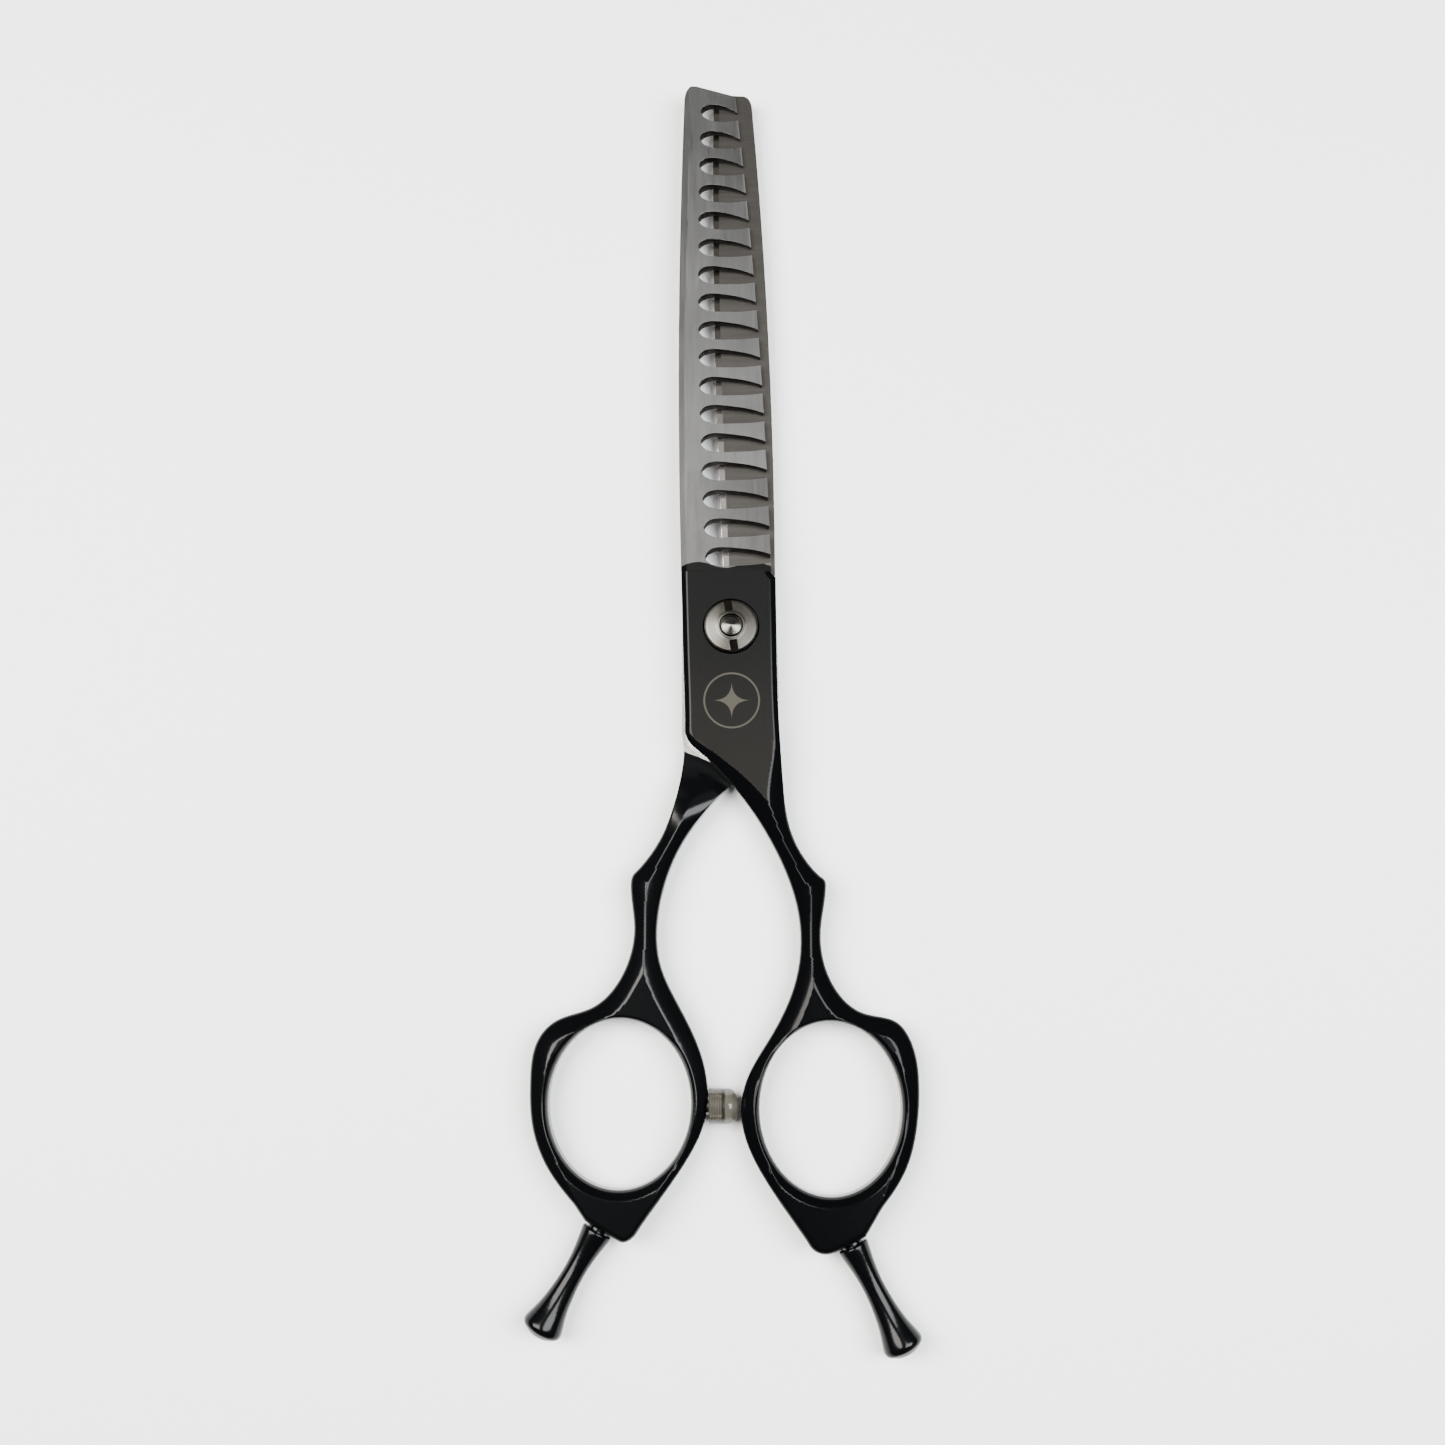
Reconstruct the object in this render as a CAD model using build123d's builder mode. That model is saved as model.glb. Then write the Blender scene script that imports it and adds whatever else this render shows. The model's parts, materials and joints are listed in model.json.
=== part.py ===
# Thinning shears: a toothed blade over a straight cutting blade, closed, lying flat.
# Frame: millimetres. The origin is on the pivot axis at the underside of the pivot post's
# head, which is what the shears lie on. +Y runs to the blade tips, +Z up through the pivot.
import os
from math import cos, hypot, radians, sin

from build123d import *

os.makedirs("parts", exist_ok=True)

# ---------------------------------------------------------------- levels along the pivot
post_head_height = 0.6      # the post's head stands this far below the back half
back_thick = 2.8            # body of the half that carries the cutting blade
halves_gap = 0.05           # running gap between the two faces that slide on each other
front_thick = 2.8           # body of the half that carries the toothed blade
ring_rise = 0.1             # underside of the finger rings above the rest surface

back_under = post_head_height
ride_level = back_under + back_thick
front_under = ride_level + halves_gap
front_top = front_under + front_thick

# ---------------------------------------------------------------- blades
split_y = 8.4               # where bare blade steel meets the coated body
blade_tip_y = 85.9
notch_count = 17
notch_first_y = 10.65
notch_last_y = blade_tip_y - 3.55
notch_fill = 0.634          # share of the teeth's pitch that a notch is high
notch_mouth_drop = 0.3      # the mouth's middle sits this much nearer to the pivot
notch_mouth_half = 0.38
tooth_side = [(6.0, split_y), (4.5, 42.4), (0.75, blade_tip_y - 0.7)]
front_spine = [(-7.5, split_y), (-8.0, 43.0), (-7.25, blade_tip_y - 1.3)]
notch_roots = [(-3.9, 10.6), (-5.0, 45.0), (-4.7, 82.4)]
cutting_side = [(-1.1, split_y), (-2.5, 47.0), (-2.7, blade_tip_y - 2.3)]
back_spine = [(6.7, split_y), (5.9, 44.1), (3.4, blade_tip_y - 2.3)]
tooth_thick_heel = 1.5      # thickness at the teeth's ends, where the wedge section is first full
tooth_thick_tip = 0.7
tip_thick_share = 0.85      # share of the spine's thickness that is left at the tip
edge_thick = 0.15           # the cutting blade's ground edge
grind_start_fall = 0.05     # drop of the ground faces where they leave the body
spine_fall = 0.15           # drop of the spine from the body to where the wedge section is full
spine_bevel_width = 0.9
spine_bevel_slope = 0.6
blank_margin = 0.7          # the blanks run this far past the blades' outlines
grind_full_y = 24.0         # both blades have their full wedge section from here to the tip

# ---------------------------------------------------------------- pivot
post_r = 2.6
post_head_r = 4.3
thread_r = 1.48
post_top_clear = 0.1        # the post's coned end stands this far above the nut
cone_rise = 0.5
running_clear = 0.05
fit_clear = 0.02
washer_clear = 0.09
bush_wall = 0.7
recess_clear = 0.25
recess_depth = 1.3
ride_washer_r = 5.2
ride_washer_thick = 0.26
ride_washer_sink = 0.24
friction_washer_thick = 0.35
spring_washer_thick = 0.4
nut_r = 3.97
recess_r = nut_r + recess_clear
friction_washer_r = nut_r - 0.12
spring_washer_r = nut_r - 0.27
nut_thick = 1.35
nut_hub_r = post_r - 0.15
nut_hub_clear = 0.08        # the nut's hub and the post's shoulder stand above the recess floor
shoulder_clear = 0.02
nut_lip_r = 1.8
nut_lip_depth = 0.55
nut_slot_width = 1.2
nut_slot_inner_r = 2.2
nut_slot_depth = 0.6
nut_slot_angle = 98.0
seat_gap = 0.02             # between flat faces of pieces stacked on the post

# ---------------------------------------------------------------- handles
ramp_start_y = -23.7        # the shank starts to thicken past the other half's body here
ramp_end_y = -29.5          # and has the ring's full thickness from here on
right_hole = ((14.35, -70.56), (10.28, 12.41))      # centre, radii
left_hole = ((-16.14, -69.88), (10.31, 12.1))

# ---------------------------------------------------------------- finger rests and bumper
rest_length = 16.9
rest_top_r = 2.28
rest_waist_r = 1.56
rest_end_r = 3.0
rest_neck_r = 1.5
rest_neck_length = 0.5
rest_seat_half = 2.25       # half the length of the flat that the rest seats against
rest_thread_r = 1.2
rest_thread_length = 4.6
rest_level = 3.3
left_rest_top = (-19.2, left_hole[0][1] - left_hole[1][1] - 5.77)
left_rest_lean = 30.3
right_rest_top = (17.35, right_hole[0][1] - right_hole[1][1] - 6.83)
right_rest_lean = 27.0
bumper_y = -70.3
bumper_level = 3.3
bumper_root_x = left_hole[0][0] + left_hole[1][0] + 2.55
bumper_tip_x = right_hole[0][0] - right_hole[1][0] - 2.85
bumper_r = 2.55
bumper_stud_r = 1.2
bumper_barb_r = 1.6
bumper_bore_clear = 0.03
bumper_stud_back = 2.3      # the stud runs this far into the ring's wall
bumper_end_thick = 1.3      # rubber between the stud's end and the cap's end


def bow(points, y):
    """The x at a given y on the parabola through three points."""
    (xa, ya), (xb, yb), (xc, yc) = points
    share_a = (y - yb) * (y - yc) / ((ya - yb) * (ya - yc))
    share_b = (y - ya) * (y - yc) / ((yb - ya) * (yb - yc))
    share_c = (y - ya) * (y - yb) / ((yc - ya) * (yc - yb))
    return xa * share_a + xb * share_b + xc * share_c


bevel_drop = spine_bevel_slope * (spine_bevel_width + blank_margin)


def front_section(y, spine_top, tooth_top):
    """A cross-section of the toothed blade's blank: bevelled spine, outer face falling to the teeth."""
    spine_x = bow(front_spine, y)
    tooth_x = bow(tooth_side, y)
    with BuildSketch(Plane.XZ.offset(-y)) as section:
        with BuildLine():
            Polyline(
                (spine_x - blank_margin, front_under),
                (tooth_x + blank_margin, front_under),
                (tooth_x + blank_margin, tooth_top),
                (tooth_x, tooth_top),
                (spine_x + spine_bevel_width, spine_top),
                (spine_x - blank_margin, spine_top - bevel_drop),
                close=True,
            )
        make_face()
    return section.sketch


def back_section(y, edge_under, spine_under):
    """A cross-section of the cutting blade's blank: ground to its edge, bevelled along the spine."""
    spine_x = bow(back_spine, y)
    edge_x = bow(cutting_side, y)
    with BuildSketch(Plane.XZ.offset(-y)) as section:
        with BuildLine():
            Polyline(
                (edge_x - blank_margin, ride_level),
                (spine_x + blank_margin, ride_level),
                (spine_x + blank_margin, spine_under + bevel_drop),
                (spine_x - spine_bevel_width, spine_under),
                (edge_x, edge_under),
                (edge_x - blank_margin, edge_under),
                close=True,
            )
        make_face()
    return section.sketch


def rim(hole, angle, wall):
    """The point of a ring's outline at an angle round its hole, a wall's width outside it."""
    (centre_x, centre_y), (radius_x, radius_y) = hole
    across = cos(radians(angle))
    along = sin(radians(angle))
    spread = wall / hypot(across * radius_y, along * radius_x)
    return (
        centre_x + across * (radius_x + spread * radius_y),
        centre_y + along * (radius_y + spread * radius_x),
    )


def seat_edge(top, lean):
    """The two ends of the flat on a ring's outline that a finger rest's neck seats against."""
    turn = radians(lean)
    middle_x = top[0] - rest_neck_length * sin(turn)
    middle_y = top[1] + rest_neck_length * cos(turn)
    reach_x = rest_seat_half * cos(turn)
    reach_y = rest_seat_half * sin(turn)
    return (middle_x - reach_x, middle_y - reach_y), (middle_x + reach_x, middle_y + reach_y)


def finish(piece, label):
    """Name a finished piece and write it."""
    piece.part.label = label
    export_step(piece.part, "parts/" + label + ".step")


# ---------------------------------------------------------------- toothed blade (front half)
notch_mid_y = (notch_first_y + notch_last_y) / 2
notch_pitch = (notch_last_y - notch_first_y) / (notch_count - 1)
notch_half_height = notch_fill * notch_pitch / 2
front_tip_left = front_top - front_thick * (1 - tip_thick_share)
front_tip_right = front_under + tooth_thick_tip
front_mid_left = (front_top + front_tip_left) / 2
front_mid_right = front_under + (tooth_thick_heel + tooth_thick_tip) / 2

with BuildPart() as toothed_blade:
    with BuildSketch(Plane.XY.offset(front_under)):
        with BuildLine():
            ThreePointArc(*front_spine)
            front_corner = (-5.2, blade_tip_y + 0.55)
            front_end = (0.35, blade_tip_y - 0.3)
            Spline(front_spine[2], (-6.6, blade_tip_y + 0.25), front_corner, tangents=[(0.1, 1), (1, -0.05)])
            Line(front_corner, front_end)
            Spline(front_end, tooth_side[2], tangents=[(1, -0.15), (0.1, -1)])
            ThreePointArc(*reversed(tooth_side))
            Line(tooth_side[0], front_spine[0])
        make_face()
    extrude(amount=front_thick)

    # the outer face falls towards the teeth and towards the tip
    front_blank = [
        front_section(split_y, front_top, front_top - grind_start_fall),
        front_section(grind_full_y, front_top - spine_fall, front_under + tooth_thick_heel),
        front_section(notch_mid_y, front_mid_left, front_mid_right),
        front_section(blade_tip_y + 2, front_tip_left, front_tip_right),
    ]
    loft(front_blank, ruled=True, mode=Mode.INTERSECT)

    # the notches between the teeth: rounded roots, arched sides, narrow mouths
    for index in range(notch_count):
        notch_y = notch_first_y + notch_pitch * index
        root_x = bow(notch_roots, notch_y)
        mouth_x = bow(tooth_side, notch_y) + 0.8
        belly_x = root_x + 0.4 * (mouth_x - root_x)
        mouth_y = notch_y - notch_mouth_drop
        with BuildSketch(Plane.XY.offset(front_under)):
            with BuildLine():
                Spline(
                    (root_x, notch_y),
                    (belly_x, notch_y + notch_half_height),
                    (mouth_x, mouth_y + notch_mouth_half),
                    tangents=[(0.25, 1), (1, -0.45)],
                )
                Line((mouth_x, mouth_y + notch_mouth_half), (mouth_x, mouth_y - notch_mouth_half))
                Spline(
                    (mouth_x, mouth_y - notch_mouth_half),
                    (belly_x, notch_y - notch_half_height),
                    (root_x, notch_y),
                    tangents=[(-1, -0.25), (-0.25, 1)],
                )
            make_face()
        extrude(amount=front_thick, mode=Mode.SUBTRACT)

finish(toothed_blade, "toothed_blade")

# ---------------------------------------------------------------- cutting blade (back half)
edge_level = ride_level - edge_thick
back_tip_under = ride_level - back_thick * tip_thick_share

with BuildPart() as cutting_blade:
    with BuildSketch(Plane.XY.offset(back_under)):
        with BuildLine():
            ThreePointArc(*cutting_side)
            back_corner = (-0.9, blade_tip_y + 0.25)
            back_end = (1.9, blade_tip_y + 0.1)
            Spline(cutting_side[2], (-2.2, blade_tip_y - 0.4), back_corner, tangents=[(0, 1), (1, 0.1)])
            Line(back_corner, back_end)
            Spline(back_end, (3.05, blade_tip_y - 0.7), back_spine[2], tangents=[(1, -0.1), (0.08, -1)])
            ThreePointArc(*reversed(back_spine))
            Line(back_spine[0], cutting_side[0])
        make_face()
    extrude(amount=back_thick)

    # the outer face is ground up towards the cutting edge and towards the tip
    back_blank = [
        back_section(split_y, back_under + grind_start_fall, back_under),
        back_section(grind_full_y, edge_level, back_under + spine_fall),
        back_section(notch_mid_y, edge_level, (back_under + back_tip_under) / 2),
        back_section(blade_tip_y + 2, edge_level, back_tip_under),
    ]
    loft(back_blank, ruled=True, mode=Mode.INTERSECT)

finish(cutting_blade, "cutting_blade")

# ---------------------------------------------------------------- front handle (coated)
right_foot = rim(right_hole, 300.1, 3.66)
right_toe = (right_rest_top[0] - 5.85, right_rest_top[1] - 0.3)

with BuildPart() as front_handle:
    with BuildSketch(Plane.XY.offset(front_under)) as front_outline:
        with BuildLine():
            Polyline((-7.5, split_y), tooth_side[0], (6.7, split_y - 0.8))
            Spline(
                (6.7, split_y - 0.8), (6.95, -10.7), (7.7, -23.4), (9.6, -32.3), (13.65, -37.5),
                tangents=[(0.02, -1), (0.8, -0.55)],
            )
            Spline(
                (13.65, -37.5), (13.95, -38.8), (13.15, -45.0), (14.7, -52.6),
                rim(right_hole, 67.2, 2.37), rim(right_hole, 49.6, 4.17), rim(right_hole, 35.8, 4.09),
                rim(right_hole, 11.6, 2.82), rim(right_hole, 344.6, 2.4), rim(right_hole, 327.4, 2.7),
                right_foot,
                tangents=[(0.75, -0.65), (-0.62, -0.78)],
                tangent_scalars=(1, 1),
            )
            seat_low, seat_high = seat_edge(right_rest_top, right_rest_lean)
            Polyline(right_foot, seat_high, seat_low)
            toe_bend = (seat_low[0] - 1.61, seat_low[1] - 0.43)
            Spline(seat_low, toe_bend, right_toe, tangents=[(-1, -0.4), (-0.8, 0.75)])
            Spline(
                right_toe, rim(right_hole, 226.5, 2.63), rim(right_hole, 188.0, 2.69),
                rim(right_hole, 167.4, 2.46), rim(right_hole, 133.3, 2.0), (9.4, -52.2),
                (9.6, -41.4), (4.3, -29.3), (0.0, -23.3),
                tangents=[(-0.7, 1), (-0.7, 0.9)],
            )
            Polyline((0.0, -23.3), (-2.6, -20.5), (-5.4, -18.2))
            ThreePointArc((-5.4, -18.2), (-6.5, -16.9), (-6.85, -15.1))
            Line((-6.85, -15.1), (-7.5, split_y))
        make_face()
        with Locations(right_hole[0]):
            Ellipse(*right_hole[1], mode=Mode.SUBTRACT)
    extrude(amount=front_thick)
    extrude(front_outline.sketch, amount=-(front_under - ring_rise))

    # only the shank and ring reach down past the ride face
    with BuildSketch(Plane.YZ):
        with BuildLine():
            Polyline(
                (20, front_under),
                (ramp_start_y, front_under),
                (ramp_end_y, ring_rise),
                (ramp_end_y, -1),
                (20, -1),
                close=True,
            )
        make_face()
    extrude(amount=40, both=True, mode=Mode.SUBTRACT)

    # recess for the tension nut, and the bore for the bush
    with Locations((0, 0, front_top)):
        CounterBoreHole(post_r + running_clear + bush_wall + fit_clear, recess_r, recess_depth)

    # threaded hole for the finger rest
    right_axis = (sin(radians(right_rest_lean)), -cos(radians(right_rest_lean)), 0)
    with BuildSketch(Plane((*right_rest_top, rest_level), z_dir=right_axis)):
        Circle(rest_thread_r + fit_clear)
    extrude(amount=-(rest_neck_length + rest_thread_length + 0.3), mode=Mode.SUBTRACT)

finish(front_handle, "front_handle")

# ---------------------------------------------------------------- back handle (coated)
left_foot = rim(left_hole, 243.9, 3.64)
left_toe = (left_rest_top[0] + 5.3, left_rest_top[1] - 0.65)
with BuildPart() as back_handle:
    with BuildSketch(Plane.XY.offset(back_under)) as back_outline:
        with BuildLine():
            Polyline(back_spine[0], cutting_side[0], (-1.1, 7.0))
            Spline((-1.1, 7.0), (-3.6, 5.6), (-6.9, 3.0), tangents=[(0, -1), (-0.6, -1)])
            Line((-6.9, 3.0), (-6.95, -17.0))
            Spline(
                (-6.95, -17.0), (-7.4, -22.0), (-9.7, -30.0), (-14.4, -36.8),
                tangents=[(0, -1), (-0.75, -0.75)],
            )
            Spline(
                (-14.4, -36.8), (-14.8, -38.6), (-14.25, -44.5), (-15.7, -51.0),
                rim(left_hole, 109.0, 2.41), rim(left_hole, 131.0, 3.78), rim(left_hole, 143.2, 4.15),
                rim(left_hole, 168.3, 2.96), rim(left_hole, 195.5, 2.59), rim(left_hole, 216.5, 2.68),
                left_foot,
                tangents=[(-0.6, -0.8), (0.66, -0.75)],
                tangent_scalars=(1, 1),
            )
            seat_high, seat_low = seat_edge(left_rest_top, -left_rest_lean)
            Polyline(left_foot, seat_high, seat_low)
            toe_bend = (seat_low[0] + 1.4, seat_low[1] - 0.7)
            Spline(seat_low, toe_bend, left_toe, tangents=[(1, -0.5), (0.8, 0.8)])
            Spline(
                left_toe, rim(left_hole, 312.1, 1.82), rim(left_hole, 348.8, 2.16),
                rim(left_hole, 15.6, 2.68), rim(left_hole, 52.0, 4.27), (-10.4, -49.7),
                (-10.4, -41.0), (-6.6, -31.3), (-1.65, -25.1), (0.0, -23.4),
                tangents=[(0.7, 1), (0.72, 0.7)],
            )
            Polyline((0.0, -23.4), (5.4, -17.6), (6.95, -14.6), (7.1, -10.7), back_spine[0])
        make_face()
        with Locations(left_hole[0]):
            Ellipse(*left_hole[1], mode=Mode.SUBTRACT)
    extrude(amount=back_thick)
    extrude(back_outline.sketch, amount=front_top - back_under)
    extrude(back_outline.sketch, amount=-(back_under - ring_rise))

    # only the shank and ring rise past the ride face or reach below the body
    with BuildSketch(Plane.YZ):
        with BuildLine():
            Polyline(
                (20, ride_level),
                (ramp_start_y, ride_level),
                (ramp_end_y, front_top),
                (ramp_end_y, front_top + 1),
                (20, front_top + 1),
                close=True,
            )
        make_face()
        with BuildLine():
            Polyline(
                (20, back_under),
                (ramp_start_y, back_under),
                (ramp_end_y, ring_rise),
                (ramp_end_y, -1),
                (20, -1),
                close=True,
            )
        make_face()
    extrude(amount=40, both=True, mode=Mode.SUBTRACT)

    # the post's hole, and the seat of the ride washer
    with Locations((0, 0, ride_level)):
        CounterBoreHole(post_r + fit_clear, ride_washer_r + 0.1, ride_washer_sink)

    # threaded hole for the finger rest
    left_axis = (-sin(radians(left_rest_lean)), -cos(radians(left_rest_lean)), 0)
    with BuildSketch(Plane((*left_rest_top, rest_level), z_dir=left_axis)):
        Circle(rest_thread_r + fit_clear)
    extrude(amount=-(rest_neck_length + rest_thread_length + 0.3), mode=Mode.SUBTRACT)

    # threaded hole right through the ring's inner wall for the bumper's stud, and its spot face
    with BuildSketch(Plane.YZ.offset(bumper_root_x)):
        with Locations((bumper_y, bumper_level)):
            Circle(bumper_stud_r + fit_clear)
    extrude(amount=-4, mode=Mode.SUBTRACT)
    with BuildSketch(Plane.YZ.offset(bumper_root_x)):
        with Locations((bumper_y, bumper_level)):
            Circle(bumper_r + 0.2)
    extrude(amount=1, mode=Mode.SUBTRACT)

finish(back_handle, "back_handle")

# ---------------------------------------------------------------- pivot post and what it carries
recess_floor = front_top - recess_depth
friction_low = recess_floor + seat_gap
friction_high = friction_low + friction_washer_thick
spring_low = friction_high + seat_gap
spring_high = spring_low + spring_washer_thick
nut_low = spring_high + seat_gap
nut_high = nut_low + nut_thick
hub_low = recess_floor + nut_hub_clear
thread_low = recess_floor + shoulder_clear
post_rim = nut_high + post_top_clear - cone_rise

with BuildPart() as pivot_post:
    with BuildSketch(Plane.XZ):
        with BuildLine():
            Polyline(
                (0, 0),
                (post_head_r - 0.25, 0),
                (post_head_r, 0.25),
                (post_head_r, post_head_height - 0.01),
                (post_r, post_head_height - 0.01),
                (post_r, thread_low),
                (thread_r, thread_low),
                (thread_r, post_rim),
            )
            Line((thread_r, post_rim), (0.15, post_rim + cone_rise - 0.03))
            Line((0.15, post_rim + cone_rise - 0.03), (0, post_rim + cone_rise))
            Line((0, post_rim + cone_rise), (0, 0))
        make_face()
    revolve(axis=Axis.Z)
finish(pivot_post, "pivot_post")


def ring_face(inner_r, outer_r, level):
    """A flat ring on the pivot axis, at one level."""
    with BuildSketch(Plane.XY.offset(level)) as ring:
        Circle(outer_r)
        Circle(inner_r, mode=Mode.SUBTRACT)
    return ring.sketch


with BuildPart() as pivot_bush:
    bush_inner = post_r + running_clear
    bush_face = ring_face(bush_inner, bush_inner + bush_wall, front_under)
    extrude(bush_face, amount=recess_floor - front_under)
finish(pivot_bush, "pivot_bush")

with BuildPart() as ride_washer:
    washer_low = ride_level - ride_washer_sink + 0.01
    extrude(ring_face(bush_inner, ride_washer_r, washer_low), amount=ride_washer_thick)
finish(ride_washer, "ride_washer")

with BuildPart() as friction_washer:
    friction_face = ring_face(nut_hub_r + washer_clear, friction_washer_r, friction_low)
    extrude(friction_face, amount=friction_washer_thick)
finish(friction_washer, "friction_washer")

with BuildPart() as spring_washer:
    spring_face = ring_face(nut_hub_r + washer_clear, spring_washer_r, spring_low)
    extrude(spring_face, amount=spring_washer_thick)
finish(spring_washer, "spring_washer")

with BuildPart() as tension_nut:
    with BuildSketch(Plane.XZ):
        with BuildLine():
            Polyline(
                (thread_r + running_clear, hub_low),
                (nut_hub_r, hub_low),
                (nut_hub_r, nut_low),
                (nut_r, nut_low),
                (nut_r, nut_high - 0.35),
                (nut_r - 0.2, nut_high - 0.17),
                (nut_lip_r + 0.28, nut_high - 0.07),
                (nut_lip_r + 0.2, nut_high),
                (nut_lip_r, nut_high),
                (nut_lip_r - 0.15, nut_high - nut_lip_depth),
                (thread_r + running_clear, nut_high - nut_lip_depth),
                close=True,
            )
        make_face()
    revolve(axis=Axis.Z)
    with BuildSketch(Plane.XY.offset(nut_high)):
        with PolarLocations((nut_slot_inner_r + nut_r + 0.2) / 2, 2, start_angle=nut_slot_angle):
            Rectangle(nut_r + 0.2 - nut_slot_inner_r, nut_slot_width)
    extrude(amount=-nut_slot_depth, mode=Mode.SUBTRACT)
finish(tension_nut, "tension_nut")

# ---------------------------------------------------------------- bumper
stud_tip_x = bumper_tip_x - bumper_end_thick
stud_root_x = bumper_root_x - bumper_stud_back
cap_seat_x = bumper_root_x + 0.02

with BuildPart() as bumper_stud:
    with BuildSketch(Plane.XY.offset(bumper_level)):
        with BuildLine():
            Polyline(
                (stud_root_x, bumper_y),
                (stud_root_x, bumper_y + bumper_stud_r),
                (stud_tip_x - 1.1, bumper_y + bumper_stud_r),
                (stud_tip_x - 0.9, bumper_y + bumper_barb_r),
                (stud_tip_x - 0.2, bumper_y + bumper_barb_r - 0.1),
                (stud_tip_x, bumper_y + bumper_barb_r - 0.35),
                (stud_tip_x, bumper_y),
                close=True,
            )
        make_face()
    revolve(axis=Axis((0, bumper_y, bumper_level), (1, 0, 0)))
finish(bumper_stud, "bumper_stud")

with BuildPart() as bumper_cap:
    with BuildSketch(Plane.XY.offset(bumper_level)):
        with BuildLine():
            Line((cap_seat_x, bumper_y), (cap_seat_x, bumper_y + bumper_r))
            Line((cap_seat_x, bumper_y + bumper_r), (bumper_tip_x - 1.7, bumper_y + bumper_r))
            Bezier(
                (bumper_tip_x - 1.7, bumper_y + bumper_r),
                (bumper_tip_x - 0.76, bumper_y + bumper_r),
                (bumper_tip_x, bumper_y + bumper_r * 0.55),
                (bumper_tip_x, bumper_y),
            )
            Line((bumper_tip_x, bumper_y), (cap_seat_x, bumper_y))
        make_face()
        with BuildLine():
            bore_r = bumper_stud_r + bumper_bore_clear
            barb_r = bumper_barb_r + bumper_bore_clear
            Polyline(
                (bumper_root_x, bumper_y),
                (bumper_root_x, bumper_y + bore_r),
                (stud_tip_x - 1.13, bumper_y + bore_r),
                (stud_tip_x - 0.93, bumper_y + barb_r),
                (stud_tip_x + bumper_bore_clear, bumper_y + barb_r),
                (stud_tip_x + bumper_bore_clear, bumper_y),
                close=True,
            )
        make_face(mode=Mode.SUBTRACT)
    revolve(axis=Axis((0, bumper_y, bumper_level), (1, 0, 0)))
finish(bumper_cap, "bumper_cap")


# ---------------------------------------------------------------- finger rests
def finger_rest(top, lean):
    """A turned rest on its own axis: thread, neck, waist, flared and domed end."""
    turn = radians(lean)
    along = (sin(turn), -cos(turn), 0)
    plane = Plane((*top, rest_level), x_dir=(along[1], -along[0], 0), z_dir=(0, 0, 1))
    with BuildPart() as rest:
        with BuildSketch(plane):
            with BuildLine():
                Polyline(
                    (0, 0),
                    (0, -rest_neck_length - rest_thread_length),
                    (rest_thread_r, -rest_neck_length - rest_thread_length),
                    (rest_thread_r, -rest_neck_length + 0.02),
                    (rest_neck_r, -rest_neck_length + 0.02),
                    (rest_neck_r, 0),
                    (rest_top_r - 0.3, 0),
                )
                Bezier((rest_top_r - 0.3, 0), (rest_top_r, 0), (rest_top_r - 0.04, 0.4))
                Spline(
                    (rest_top_r - 0.04, 0.4),
                    (rest_waist_r + 0.3, rest_length * 0.166),
                    (rest_waist_r, rest_length * 0.373),
                    (rest_waist_r + 0.26, rest_length * 0.604),
                    (rest_end_r - 0.75, rest_length * 0.746),
                    (rest_end_r - 0.1, rest_length - 2),
                    tangents=[(-0.12, 1), (0.25, 1)],
                )
                rest_corner = (rest_end_r - 0.7, rest_length - 0.7)
                rest_edge = (rest_end_r - 0.1, rest_length - 2)
                Bezier(rest_edge, (rest_end_r + 0.1, rest_length - 1.1), rest_corner)
                Bezier(rest_corner, (rest_end_r - 1.6, rest_length), (0, rest_length))
                Line((0, rest_length), (0, 0))
            make_face()
        revolve(axis=Axis((*top, rest_level), along))
    return rest


left_finger_rest = finger_rest(left_rest_top, -left_rest_lean)
finish(left_finger_rest, "left_finger_rest")

right_finger_rest = finger_rest(right_rest_top, right_rest_lean)
finish(right_finger_rest, "right_finger_rest")
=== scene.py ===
import json
import math

import bmesh
import bpy
import numpy as np
from mathutils import Matrix, Vector
from mathutils.geometry import delaunay_2d_cdt
from mathutils.kdtree import KDTree


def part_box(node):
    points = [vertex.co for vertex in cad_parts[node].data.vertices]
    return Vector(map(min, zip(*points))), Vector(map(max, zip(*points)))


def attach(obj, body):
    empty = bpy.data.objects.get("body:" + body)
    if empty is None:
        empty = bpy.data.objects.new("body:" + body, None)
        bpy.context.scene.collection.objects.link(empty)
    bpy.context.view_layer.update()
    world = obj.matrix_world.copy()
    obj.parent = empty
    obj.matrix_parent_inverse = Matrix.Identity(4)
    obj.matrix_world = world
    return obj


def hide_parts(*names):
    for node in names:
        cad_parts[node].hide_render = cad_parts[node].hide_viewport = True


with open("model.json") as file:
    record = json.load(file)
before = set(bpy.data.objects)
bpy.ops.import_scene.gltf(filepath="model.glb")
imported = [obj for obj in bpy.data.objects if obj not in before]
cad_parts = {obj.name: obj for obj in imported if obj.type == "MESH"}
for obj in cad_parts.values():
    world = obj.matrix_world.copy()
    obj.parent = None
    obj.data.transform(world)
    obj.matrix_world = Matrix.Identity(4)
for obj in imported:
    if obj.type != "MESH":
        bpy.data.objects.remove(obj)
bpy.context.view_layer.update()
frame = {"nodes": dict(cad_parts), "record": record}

MM = 0.001


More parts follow.
